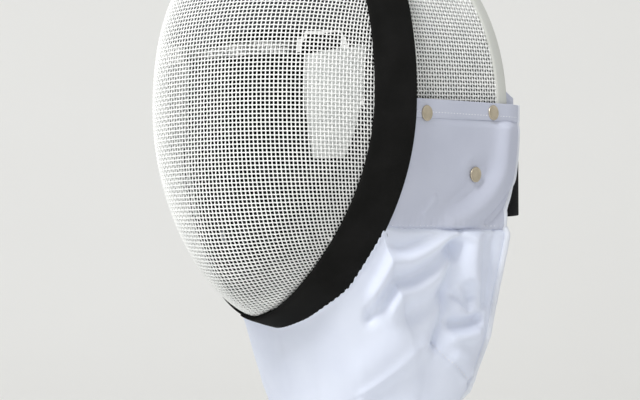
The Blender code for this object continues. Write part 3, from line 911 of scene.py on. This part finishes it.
def turned_in(around, down):
    """How far the far rear edge hangs in towards the neck."""
    near_edge = 1.0 - smooth(2.0 * (1.0 - around) / FAR_TURN_SHARE)
    return FAR_TURN_IN * near_edge * smooth(down * 16.0) * (1.0 - smooth((down - 0.35) / 0.40))


TUCK_UP, TUCK_OUT, UNDER_TRIM, TRIM_ABOVE = 0.0015, 0.0012, 0.0050, 0.0075
BIB_START = angle_at(PANEL_BOTTOM + TUCK_UP)
TRIM_START = angle_at(PANEL_BOTTOM + TUCK_UP + TRIM_ABOVE)


def bib_top(around):
    """Upper edge of the bib: sewn into the side panels, then tucked under the trim."""
    near, half = around < 0.5, 2.0 * min(around, 1.0 - around)
    angle = mix(TRIM_START, -TOP, max(half - BIB_CORNER, 0.0) / (1.0 - BIB_CORNER))
    angle = angle if near else math.pi - angle
    place = trim_point(angle, trim_width(angle) - UNDER_TRIM, -0.0005)
    if half < BIB_CORNER:
        share = half / BIB_CORNER
        rear = share_at(BIB_START, panel_past(1.0))
        front = share_at(BIB_START, place.y)
        level = side_off(BIB_START, mix(rear, front, share), PANEL_OUT + TUCK_OUT)
        level.x = level.x if near else -level.x
        place = level.lerp(place, smooth((share - 0.80) / 0.20))
    return place


# %% [markdown]
# The folds and seams of the bib are lines on the cloth itself. Across runs from 0 at the rear
# edge to 1 at the middle of the front, and down from 0 at the top to 1 at the hem. A length of
# 1 is about 0.2 m of cloth, so widths read in the same unit.

# %% Bib folds and seams
SEAM_UPRIGHT = ((0.150, 0.0), (0.150, 0.05), (0.160, 0.09), (0.170, 0.14), (0.190, 0.18),
                (0.210, 0.24), (0.220, 0.28), (0.230, 0.31), (0.250, 0.34), (0.280, 0.37),
                (0.300, 0.40))
SEAM_LOW = ((0.300, 0.40), (0.280, 0.45), (0.220, 0.52), (0.120, 0.63), (0.010, 0.72))
SEAM_FRONT = ((0.300, 0.40), (0.390, 0.42), (0.460, 0.44), (0.530, 0.45), (0.590, 0.47),
              (0.720, 0.49))
BIB_FOLDS = soft((
    (0.034, 0.0074, ((0.165, 0.01), (0.180, 0.035), (0.220, 0.080), (0.280, 0.127), (0.400, 0.162),
                     (0.500, 0.178))),
    (0.027, -0.0066, ((0.160, 0.070), (0.220, 0.130), (0.290, 0.184), (0.430, 0.212),
                      (0.540, 0.216))),
    (0.018, -0.0030, ((0.190, 0.020), (0.260, 0.070), (0.340, 0.100))),
    (0.034, 0.0060, ((0.190, 0.155), (0.250, 0.202), (0.360, 0.243), (0.440, 0.258))),
    (0.026, -0.0050, ((0.230, 0.256), (0.300, 0.287), (0.380, 0.305))),
    (0.030, -0.0064, SEAM_UPRIGHT[2:]),
    (0.080, 0.0050, ((0.46, 0.36), (0.60, 0.38))),
    (0.028, 0.0032, ((0.340, 0.395), (0.400, 0.415), (0.50, 0.440), (0.62, 0.470))),
    (0.036, 0.0090, ((0.118, 0.02), (0.120, 0.09), (0.125, 0.18), (0.125, 0.24))),
    (0.019, -0.0070, ((0.145, 0.25), (0.132, 0.275), (0.120, 0.295))),
    (0.015, -0.0044, ((0.182, 0.272), (0.152, 0.300), (0.126, 0.332))),
    (0.026, -0.0086, ((0.205, 0.365), (0.180, 0.375), (0.140, 0.385), (0.080, 0.395))),
    (0.028, 0.0042, ((0.220, 0.415), (0.180, 0.425), (0.100, 0.445))),
    (0.036, 0.0040, ((0.215, 0.485), (0.140, 0.560), (0.080, 0.640))),
    (0.026, -0.0058, ((0.042, 0.02), (0.042, 0.34))),
    (0.050, -0.0016, ((0.80, 0.10), (0.84, 0.80))),
))
SEAMS = soft(((0.0085, -0.0024, SEAM_UPRIGHT), (0.0065, -0.0011, SEAM_LOW),
              (0.0065, -0.0009, SEAM_FRONT)))
FAR_FOLD_SHARE, BIB_PUFF = 0.35, 0.0034
STRIP_DOWN, STRIP_SUNK, RIDGE_DOWN, RIDGE_WIDTH = 0.030, 0.0014, 0.050, 0.014
RIPPLE, RIPPLE_CHANGE, RIPPLE_PITCH = 0.0013, 0.0005, 0.0052
GROOVE_SUNK, GROOVE_WIDTH = 0.0014, 0.0013
BINDING_WIDTH, ACROSS_LENGTH, DOWN_LENGTH = 0.0072, 0.22, 0.20


def under_trim(across):
    """1 where the bib's top edge is tucked under the trim, 0 where it hangs from a panel."""
    return smooth((across - 0.36) / 0.05)


def bib_relief(around, down):
    """How far folds and seams move the cloth outwards."""
    across = 2.0 * min(around, 1.0 - around)
    near = 1.0 if around < 0.5 else FAR_FOLD_SHARE
    edge = smooth(down * 14.0) * smooth(across * 14.0)
    trimmed = under_trim(across)
    puff = BIB_PUFF * smooth(down / 0.035) * (1.0 - trimmed) * (1.0 - smooth(down * 3.0))
    strip = STRIP_SUNK * smooth((down - STRIP_DOWN) / 0.010)
    waves = across * ACROSS_LENGTH / RIPPLE_PITCH
    ripple = RIPPLE + RIPPLE_CHANGE * math.sin(waves * 2.0 * math.pi)
    ridge = ripple * math.exp(-((down - RIDGE_DOWN) / RIDGE_WIDTH) ** 2)
    to_edge = min(across * ACROSS_LENGTH, (1.0 - down) * DOWN_LENGTH)
    bound = -GROOVE_SUNK * math.exp(-((to_edge - BINDING_WIDTH) / GROOVE_WIDTH) ** 2)
    return (folded(across, down, BIB_FOLDS) * near * edge + folded(across, down, SEAMS) * near
            + puff + (strip + ridge) * trimmed + bound)


def bib_place(around, down, lift=0.0):
    """Outer face of the bib."""
    tied = bib_top(around) - bib_section(around, 0.0)
    place = bib_section(around, down) + tied * (1.0 - smooth(down / 0.55))
    place.x += turned_in(around, down)
    outward = Vector((math.cos(math.pi * around), -math.sin(math.pi * around), 0.0))
    return place + outward * (bib_relief(around, down) + lift)


def finish_faces(mesh, outer, part, inner, in_part):
    """Outer cloth, another cloth where in_part(u, v) says so, and the inner cloth in metres."""
    for finish in (outer, part, inner):
        mesh.materials.append(finish)
    flat = mesh.uv_layers["cloth"].data
    for face in mesh.polygons:
        spots = [flat[index].uv for index in face.loop_indices]
        u, v = (sum(spot[axis] for spot in spots) / len(spots) for axis in (0, 1))
        face.material_index = 1 if in_part(u, v) else 0


def on_strip(u, v):
    """Whether a face belongs to the flat strip beside the trim, whose darker cloth is painted
    shade.
    """
    around = u / (2.0 * ACROSS_LENGTH)
    return v / DOWN_LENGTH < STRIP_DOWN + 0.004 and 2.0 * min(around, 1.0 - around) > 0.385


bib_mesh = laid_grid("bib_cloth", bib_place, 340, 130, (2.0 * ACROSS_LENGTH, DOWN_LENGTH))
# The strip beside the trim gets the darker cloth: painted shade under the trim's edge.
finish_faces(bib_mesh, white_cloth, painted_shade_cloth, dark_cloth, on_strip)
bib_cloth = link_piece("bib_cloth", bib_mesh, white_cloth, "cloth", "bib")
add_wall(bib_cloth, BIB_THICKNESS)
bib_cloth.modifiers["wall"].material_offset = 2

# %% [markdown]
# ## Piping and edge binding
# A round piping closes the bib's free edge, and a binding runs up the rear edge of each panel.
# Both are curves with a round bevel, made into meshes.

# %% Piping


def make_piping(name, line, radius, material, slot, *nodes):
    """Round piping along a line."""
    mesh = tube_mesh(name, [[(place, 1.0) for place in line]], radius, 4)
    return link_piece(name, mesh, material, slot, *nodes)


PIPING_RADIUS, BINDING_RADIUS = 0.0027, 0.0022


def bib_edge():
    """Pairs of places along the bib's free edge: on the edge, and just inside it."""
    inset, sides, hem = 0.02, 60, 140
    path = [(bib_place(0.0, k / sides), bib_place(inset, k / sides)) for k in range(sides)]
    path += [(bib_place(k / hem, 1.0), bib_place(k / hem, 1.0 - inset)) for k in range(hem + 1)]
    path += [(bib_place(1.0, k / sides), bib_place(1.0 - inset, k / sides))
             for k in reversed(range(sides))]
    return path


def off_edge(path, distance):
    """Line at a distance beyond an edge."""
    line = []
    for index, (edge, inside) in enumerate(path):
        along = (path[min(index + 1, len(path) - 1)][0] - path[max(index - 1, 0)][0]).normalized()
        off = edge - inside
        off = (off - along * off.dot(along)).normalized()
        line.append(edge + off * distance)
    return line


bib_piping = make_piping("bib_edge_piping", off_edge(bib_edge(), PIPING_RADIUS * 0.5),
                         PIPING_RADIUS, edge_tape, "cloth", "bib_piping")
for name, hand in HANDS:
    line = [mirrored(lambda u, v: panel_place(u, v, CLOTH_THICKNESS / 2.0), hand)(1.0, k / 40)
            for k in range(41)]
    make_piping("panel_binding_" + name, line, BINDING_RADIUS, edge_tape,
                                  "cloth")

# %% [markdown]
# ## Caps
# Three flat round caps hold each panel. A cap is a profile spun round its axis: a nearly flat
# top with a rolled edge.

# %% Caps
CAP_RADIUS, CAP_HEIGHT = 0.0060, 0.0016
CAP_PROFILE = ((0.0, 1.00), (0.35, 0.99), (0.62, 0.94), (0.80, 0.86), (0.84, 0.96), (0.90, 1.04),
               (0.96, 0.96), (1.0, 0.70), (1.0, 0.35), (0.94, 0.0), (0.0, 0.0))


def make_cap(name, middle, away):
    """Spin the cap's profile and lay it on the panel."""
    shape = bmesh.new()
    corners = [shape.verts.new((CAP_RADIUS * r, 0.0, CAP_HEIGHT * h)) for r, h in CAP_PROFILE]
    for a, b in zip(corners, corners[1:]):
        shape.edges.new((a, b))
    bmesh.ops.spin(shape, geom=shape.verts[:] + shape.edges[:], axis=(0, 0, 1), cent=(0, 0, 0),
                   steps=40, angle=2.0 * math.pi, use_merge=True)
    bmesh.ops.remove_doubles(shape, verts=shape.verts, dist=0.00001)
    bmesh.ops.recalc_face_normals(shape, faces=shape.faces)
    turn = away.to_track_quat("Z", "Y").to_matrix().to_4x4()
    bmesh.ops.transform(shape, matrix=turn, verts=shape.verts)
    bmesh.ops.translate(shape, vec=seat(middle), verts=shape.verts)
    for face in shape.faces:
        face.smooth = True
    mesh = kept_mesh(name, shape)
    return link_piece(name, mesh, nickel, "nickel", name.replace("nickel_", ""))


for name, hand in HANDS:
    for spot, (depth, height) in CAP_SPOTS.items():
        base = on_side(depth, height, PANEL_OUT + CLOTH_THICKNESS + GAP)
        away = on_side(depth, height, PANEL_OUT + CLOTH_THICKNESS + 2.0 * GAP) - base
        base.x *= hand
        away.x *= hand
        make_cap("nickel_cap_" + name + "_" + spot, base, away)

# %% [markdown]
# ## Padding
# The padding is foam between two cloths. Each pad is a grid with a thick wall whose edges are
# rounded by a bevel, and its outer and inner cloth can have different colours.

# %% Linings
LINING_THICKNESS, SIDE_LINING_TOP, SIDE_LINING_RISE = 0.0080, 0.0410, 0.0230
SIDE_LINING_BOTTOM, CROWN_LINING_ABOVE = -0.0970, 0.0120
EAR_LAP_DEPTH, EAR_LAP_TOP, EAR_LAP_RAISED, STRAP_THICKNESS = 0.0495, 0.0190, 0.014, 0.0025
LINING_DRAWN_IN, PAD_EDGE = 0.010, 0.0022
STRAP_START, STRAP_BOW, STRAP_POWER = 0.0020, 0.0550, 2.6
LAP_BOW = STRAP_BOW - STRAP_THICKNESS / 2.0
TURN_IN, SIDE_PAD_LENGTH = REAR_DEPTH + STRAP_START, 0.20
LINING_OUT = -(WIRE_THICKNESS / 2.0 + GAP + RIM_WALL + GAP)


def lining_line(share):
    """Height of the side linings' top edge at a share of the side mesh's depth."""
    return SIDE_LINING_TOP + SIDE_LINING_RISE * share


def crown_place(u, v):
    """Padding under the crown."""
    low = angle_at(lining_line(v) + CROWN_LINING_ABOVE)
    return side_off(mix(low, math.pi - low, u), mix(0.02, 0.99, v), LINING_OUT)


def side_lining_place(u, v):
    """Padding inside the left side, with a lap that turns in behind the ear."""
    depth = mix(SETBACK, TURN_IN + EAR_LAP_DEPTH, u)
    past, share = max(depth - TURN_IN, 0.0), min(depth / TURN_IN, 1.0)
    lap_top = EAR_LAP_TOP * (1.0 - (past / EAR_LAP_DEPTH) ** 6)
    raised = lining_line(share) + EAR_LAP_RAISED * smooth(past / 0.006)
    top = mix(raised, lap_top, smooth((past - 0.036) / 0.012))
    height = mix(top, SIDE_LINING_BOTTOM, v)
    level = on_side(mix(ring(angle_at(height)).y, 0.0, share) + min(depth, TURN_IN), height,
                    LINING_OUT)
    around = (1.0 - (past / LAP_BOW) ** STRAP_POWER) ** (1.0 / STRAP_POWER)
    low_down = smooth((-0.040 - height) / 0.040)
    drawn_in = LINING_DRAWN_IN * low_down * smooth((depth - 0.10) / 0.05)
    bowed = Vector((level.x * around, level.y + past - drawn_in, level.z))
    straight = Vector((level.x - past, level.y + 0.10 * past, level.z))
    return bowed.lerp(straight, smooth((height - 0.012) / 0.018))


def on_lap(u, v):
    """Whether a face of the side padding belongs to the lap behind the rim, whose darker cloth is
    painted shade.
    """
    return u / SIDE_PAD_LENGTH > (TURN_IN - SETBACK - 0.004) / (TURN_IN + EAR_LAP_DEPTH - SETBACK)


def make_pad(name, place, across, down, size, thickness, cloths, in_part, slot, *nodes):
    """A foam pad with an outer cloth, a cloth for a part of it and an inner cloth."""
    mesh = laid_grid(name, place, across, down, size)
    finish_faces(mesh, *cloths, in_part)
    pad = link_piece(name, mesh, cloths[0], slot, *nodes)
    add_wall(pad, thickness, round_edge=PAD_EDGE)
    pad.modifiers["wall"].material_offset = pad.modifiers["wall"].material_offset_rim = 2
    return pad


def nowhere(u, v):
    """For pads with one outer cloth."""
    return False


DARK = (dark_cloth, dark_cloth, dark_cloth)
make_pad("crown_padding", crown_place, 60, 24, (0.36, 0.13), LINING_THICKNESS,
         (crown_cloth_with_painted_light, crown_cloth_with_painted_light, dark_cloth), nowhere, "lining", "crown_lining")
for name, hand in HANDS:
    # The lap behind the rim is the white cloth painted darker: painted shade.
    make_pad("side_padding_" + name, mirrored(side_lining_place, hand), 56, 32,
             (SIDE_PAD_LENGTH, 0.13), LINING_THICKNESS, (dark_cloth, painted_shade_cloth, dark_cloth),
             on_lap, "lining", "side_lining_" + name)

# %% [markdown]
# The chin padding sits inside the trim, and a pale pad sits inside the bowl beside each cheek.
# The cheek pad shows through the wires, so its outline follows the photograph.

# %% Chin padding and cheek pads
CHIN_LINING_ANGLE = math.radians(45.0)


def chin_place(u, v):
    """Padding inside the trim round the chin."""
    angle = mix(-CHIN_LINING_ANGLE, CHIN_LINING_ANGLE - math.pi, u)
    back = mix(SETBACK, trim_width(angle) - GAP, v)
    return trim_point(angle, back, WIRE_THICKNESS / 2.0 - GAP)


make_pad("chin_padding", chin_place, 40, 8, (0.17, 0.04), LINING_THICKNESS, DARK, nowhere,
         "lining", "chin_lining")

PAD_CORNERS = ((12.5, 0.644), (13.3, 0.992), (-19.5, 0.905), (-22.5, 0.740))
PAD_BULGE, PAD_THICKNESS = 0.05, 0.0060


def bowl_polar(angle, share):
    """Place on the bowl at an angle round it and a share out from the nose."""
    spread = (math.sin(share * DOME_ANGLE) / math.sin(DOME_ANGLE)) ** DOME_EASE
    edge = ring(angle)
    return bowl_place(edge.x * spread, edge.z * spread)


def cheek_place(u, v):
    """Pale pad against the inside of the bowl beside the left cheek."""
    top_front, top_rear, low_rear, low_front = PAD_CORNERS
    upper = [mix(a, b, u) for a, b in zip(top_front, top_rear)]
    lower = [mix(a, b, u) for a, b in zip(low_front, low_rear)]
    angle, share = (mix(a, b, v) for a, b in zip(upper, lower))
    share -= PAD_BULGE * math.sin(math.pi * v) * (1.0 - u)
    place = bowl_polar(math.radians(angle), share)
    return place - bowl_outward(place.x, place.z) * (WIRE_THICKNESS + 2.0 * GAP)


for name, hand in HANDS:
    make_pad("cheek_padding_" + name, mirrored(cheek_place, hand), 24, 24, (0.05, 0.09),
             PAD_THICKNESS, (pad_cloth,) * 3, nowhere, "pad", "cheek_pad_" + name)

# %% [markdown]
# Grey padding lines the top of the bowl, down to the brow. It is what the upper holes of the
# mesh show in the photograph, where the lower ones are black.

# %% Brow padding
BROW_LOW, BROW_RISE, BROW_END, BROW_SHARE = 0.0360, 0.0140, 0.0540, 0.985


def share_at_spread(spread):
    """Share out from the nose at which the bowl reaches a share of its edge."""
    return math.asin(math.sin(DOME_ANGLE) * spread ** (DOME_POWER / 2.0)) / DOME_ANGLE


def brow_place(u, v):
    """Padding against the inside of the bowl above the brow."""
    low = angle_at(BROW_END)
    angle = mix(low, math.pi - low, u)
    edge = ring(angle)
    line = BROW_LOW + BROW_RISE * (edge.x / HALF_WIDTH) ** 2
    place = bowl_polar(angle, mix(BROW_SHARE, share_at_spread(line / edge.z), v))
    return place - bowl_outward(place.x, place.z) * (WIRE_THICKNESS + 2.0 * GAP)


make_pad("brow_padding", brow_place, 48, 24, (0.18, 0.08), LINING_THICKNESS,
         (brow_cloth, brow_cloth, dark_cloth), nowhere, "lining", "brow_lining")

# %% [markdown]
# ## Behind the head
# A padded tongue comes down from the crown and a wide elastic strap joins the two ear laps.

# %% Tongue and strap
SEAT_BACK, HEAD_RADIUS = 0.070, 0.0850
TONGUE_WIDTH, TONGUE_WIDTH_LOW, TONGUE_START = 0.1360, 0.1060, 0.0300
TONGUE_REACH, TONGUE_DROP = 0.1350, 0.1250
STRAP_HEIGHT, STRAP_MIDDLE = 0.0500, -0.0570


def crown_point(depth):
    """Place on the crown padding's inner face on the middle line."""
    return side_off(TOP, share_at(TOP, depth), LINING_OUT - LINING_THICKNESS)


def curve_point(path, share):
    """Depth and height on a smooth curve with four control points."""
    rest = 1.0 - share
    weights = (rest ** 3, 3 * rest * rest * share, 3 * rest * share * share, share ** 3)
    return Vector((sum(w * p[0] for w, p in zip(weights, path)),
                   sum(w * p[1] for w, p in zip(weights, path))))


tongue_root = crown_point(SEAT_BACK + TONGUE_START)
tongue_top = tongue_root.z - GAP
tongue_rear = tongue_root.y - TONGUE_START + TONGUE_REACH
TONGUE_PATH = ((tongue_root.y, tongue_top), (tongue_rear - TONGUE_REACH / 3.0, tongue_top),
               (tongue_rear, tongue_top - TONGUE_DROP / 3.0),
               (tongue_rear, tongue_top - TONGUE_DROP))


def tongue_place(u, v):
    """Tongue behind the head, bent round it."""
    here = curve_point(TONGUE_PATH, v)
    ahead = (curve_point(TONGUE_PATH, v + 0.01) - curve_point(TONGUE_PATH, v - 0.01)).normalized()
    across = (u - 0.5) * mix(TONGUE_WIDTH, TONGUE_WIDTH_LOW, v)
    bend = across * across / (2.0 * HEAD_RADIUS)
    return Vector((across, here.x + ahead.y * bend, here.y - ahead.x * bend))


make_pad("tongue_padding", tongue_place, 30, 30, (0.11, 0.19), LINING_THICKNESS, DARK, nowhere,
         "lining", "back_tongue")

lap_edge = on_side(TURN_IN, STRAP_MIDDLE + STRAP_HEIGHT / 2.0, LINING_OUT)
strap_half_width = lap_edge.x + 3.0 * GAP + STRAP_THICKNESS


def strap_place(u, v):
    """Elastic strap from one ear lap to the other."""
    turn, power = math.pi * u, 2.0 / STRAP_POWER
    across, bow = signed_power(math.cos(turn), power), math.sin(turn) ** power
    return Vector((strap_half_width * across, TURN_IN + 3.0 * GAP + STRAP_BOW * bow,
                   STRAP_MIDDLE + STRAP_HEIGHT * (0.5 - v)))


strap_mesh = laid_grid("head_strap", strap_place, 80, 16, (0.29, 0.05))
strap = link_piece("head_strap", strap_mesh, elastic, "elastic", "back_strap")
add_wall(strap, STRAP_THICKNESS, round_edge=0.0008)

# %% [markdown]
# ## Stitches
# A stitch is a small rounded grain of thread. One grain is shaped from a sphere and copied along
# a seam line, so a few dozen faces make each stitch.

# %% Stitches
STITCH_LENGTH, STITCH_PITCH, STITCH_RADIUS = 0.0020, 0.0036, 0.00034
HEM_ROW, SEAM_ROW = 0.0096, 0.0925


def stitch_rows(name, rows):
    """One mesh of stitches along several rows of places."""
    shape = bmesh.new()
    for row in rows:
        travelled, due = 0.0, STITCH_PITCH
        for here, ahead in zip(row, row[1:]):
            step = (ahead - here).length
            while travelled + step >= due:
                place = seat(here.lerp(ahead, (due - travelled) / step))
                turn = (ahead - here).to_track_quat("X", "Z").to_matrix().to_4x4()
                grain = bmesh.ops.create_icosphere(shape, subdivisions=1, radius=1.0)["verts"]
                bmesh.ops.scale(shape, verts=grain,
                                vec=(STITCH_LENGTH / 2.0, STITCH_RADIUS, STITCH_RADIUS))
                bmesh.ops.transform(shape, matrix=turn, verts=grain)
                bmesh.ops.translate(shape, verts=grain, vec=place)
                due += STITCH_PITCH
            travelled += step
    for face in shape.faces:
        face.smooth = True
    return link_piece(name, kept_mesh(name, shape), thread, "cloth")


def along_line(line, steps):
    """Points evenly shared between the corners of a line."""
    return [(mix(a[0], b[0], k / steps), mix(a[1], b[1], k / steps))
            for a, b in zip(line, line[1:]) for k in range(steps)] + [line[-1]]


def panel_row(distance_down, hand, first, last):
    """Row of places along the panel at a distance below its top edge."""
    tall = PANEL_TOP - PANEL_BOTTOM
    return [mirrored(lambda u, v: panel_place(u, v, CLOTH_THICKNESS), hand)(
        mix(first, last, k / 60), distance_down / tall) for k in range(61)]


for name, hand in HANDS:
    stitch_rows("panel_stitches_" + name, [panel_row(HEM_ROW, hand, 0.1, 0.98),
                                                            panel_row(SEAM_ROW, hand, 0.02, 0.98)])
bib_stitches = stitch_rows("bib_stitches", [[bib_place(a / 2.0, d, 0.0002)
                                             for a, d in along_line(rounded(SEAM_LOW), 3)]])

# %% [markdown]

# %% [markdown]
# ## Floor and backdrop
# A pale studio sweep: a floor that curves up into a wall, wide enough to fill every view.

# %% Sweep
FLOOR_Z = seat(Vector((0.0, 0.0, -0.3150))).z
SWEEP_HALF, SWEEP_NEAR, COVE_START, COVE_RADIUS, WALL_TOP = 6.0, -6.0, 1.6, 1.0, 4.0
AWAY = Vector((-EYE.x, -EYE.y, 0.0)).normalized()
ACROSS = Vector((AWAY.y, -AWAY.x, 0.0))
sweep_shape = bmesh.new()
bmesh.ops.create_grid(sweep_shape, x_segments=2, y_segments=60, size=0.5)
COVE_LENGTH = COVE_RADIUS * math.pi / 2.0
for corner in sweep_shape.verts:
    run = mix(SWEEP_NEAR, COVE_START + COVE_LENGTH + WALL_TOP, corner.co.y + 0.5)
    turn = min(max(run - COVE_START, 0.0) / COVE_RADIUS, math.pi / 2.0)
    depth = min(run, COVE_START) + COVE_RADIUS * math.sin(turn)
    rise = COVE_RADIUS * (1.0 - math.cos(turn)) + max(run - COVE_START - COVE_LENGTH, 0.0)
    sideways = ACROSS * corner.co.x * 2.0 * SWEEP_HALF
    corner.co = sideways + AWAY * depth + Vector((0.0, 0.0, FLOOR_Z + rise))
bmesh.ops.recalc_face_normals(sweep_shape, faces=sweep_shape.faces)
for face in sweep_shape.faces:
    face.smooth = True
sweep_mesh = kept_mesh("sweep", sweep_shape)
sweep = bpy.data.objects.new("sweep", sweep_mesh)
bpy.context.scene.collection.objects.link(sweep)
sweep_paint, sweep_shader = new_finish("sweep paint", 0.95)
cloudy(sweep_paint, sweep_shader, coordinates(sweep_paint, "Object"), 0.8, (0.84, 0.84, 0.825),
       (0.86, 0.86, 0.845))
sweep_mesh.materials.append(sweep_paint)

# %% [markdown]
# ## Light
# Soft light comes from a bright surrounding. One softbox hangs high in front of the wearer,
# left of the camera, so the side panel stays in half shade and every fold shows its lower side.
# Colours come straight from the render.

# %% Lights
world = bpy.data.worlds.new("studio")
bpy.context.scene.world = world
world.use_nodes = True
world.node_tree.nodes["Background"].inputs["Color"].default_value = (1.0, 1.0, 0.995, 1.0)
world.node_tree.nodes["Background"].inputs["Strength"].default_value = 0.69
bpy.context.scene.view_settings.view_transform = "Standard"
bpy.context.scene.view_settings.look = "None"


def softbox(name, place, target, size, power):
    """Square area light aimed at a place."""
    light = bpy.data.lights.new(name, "AREA")
    light.shape, light.size, light.energy = "SQUARE", size, power
    made = bpy.data.objects.new(name, light)
    made.location = place
    made.rotation_euler = (Vector(target) - Vector(place)).to_track_quat("-Z", "Y").to_euler()
    bpy.context.scene.collection.objects.link(made)


MASK_MIDDLE = (0.0, 0.0, -0.2)
softbox("key", (0.20, -1.75, 1.40), MASK_MIDDLE, 0.7, 45.0)
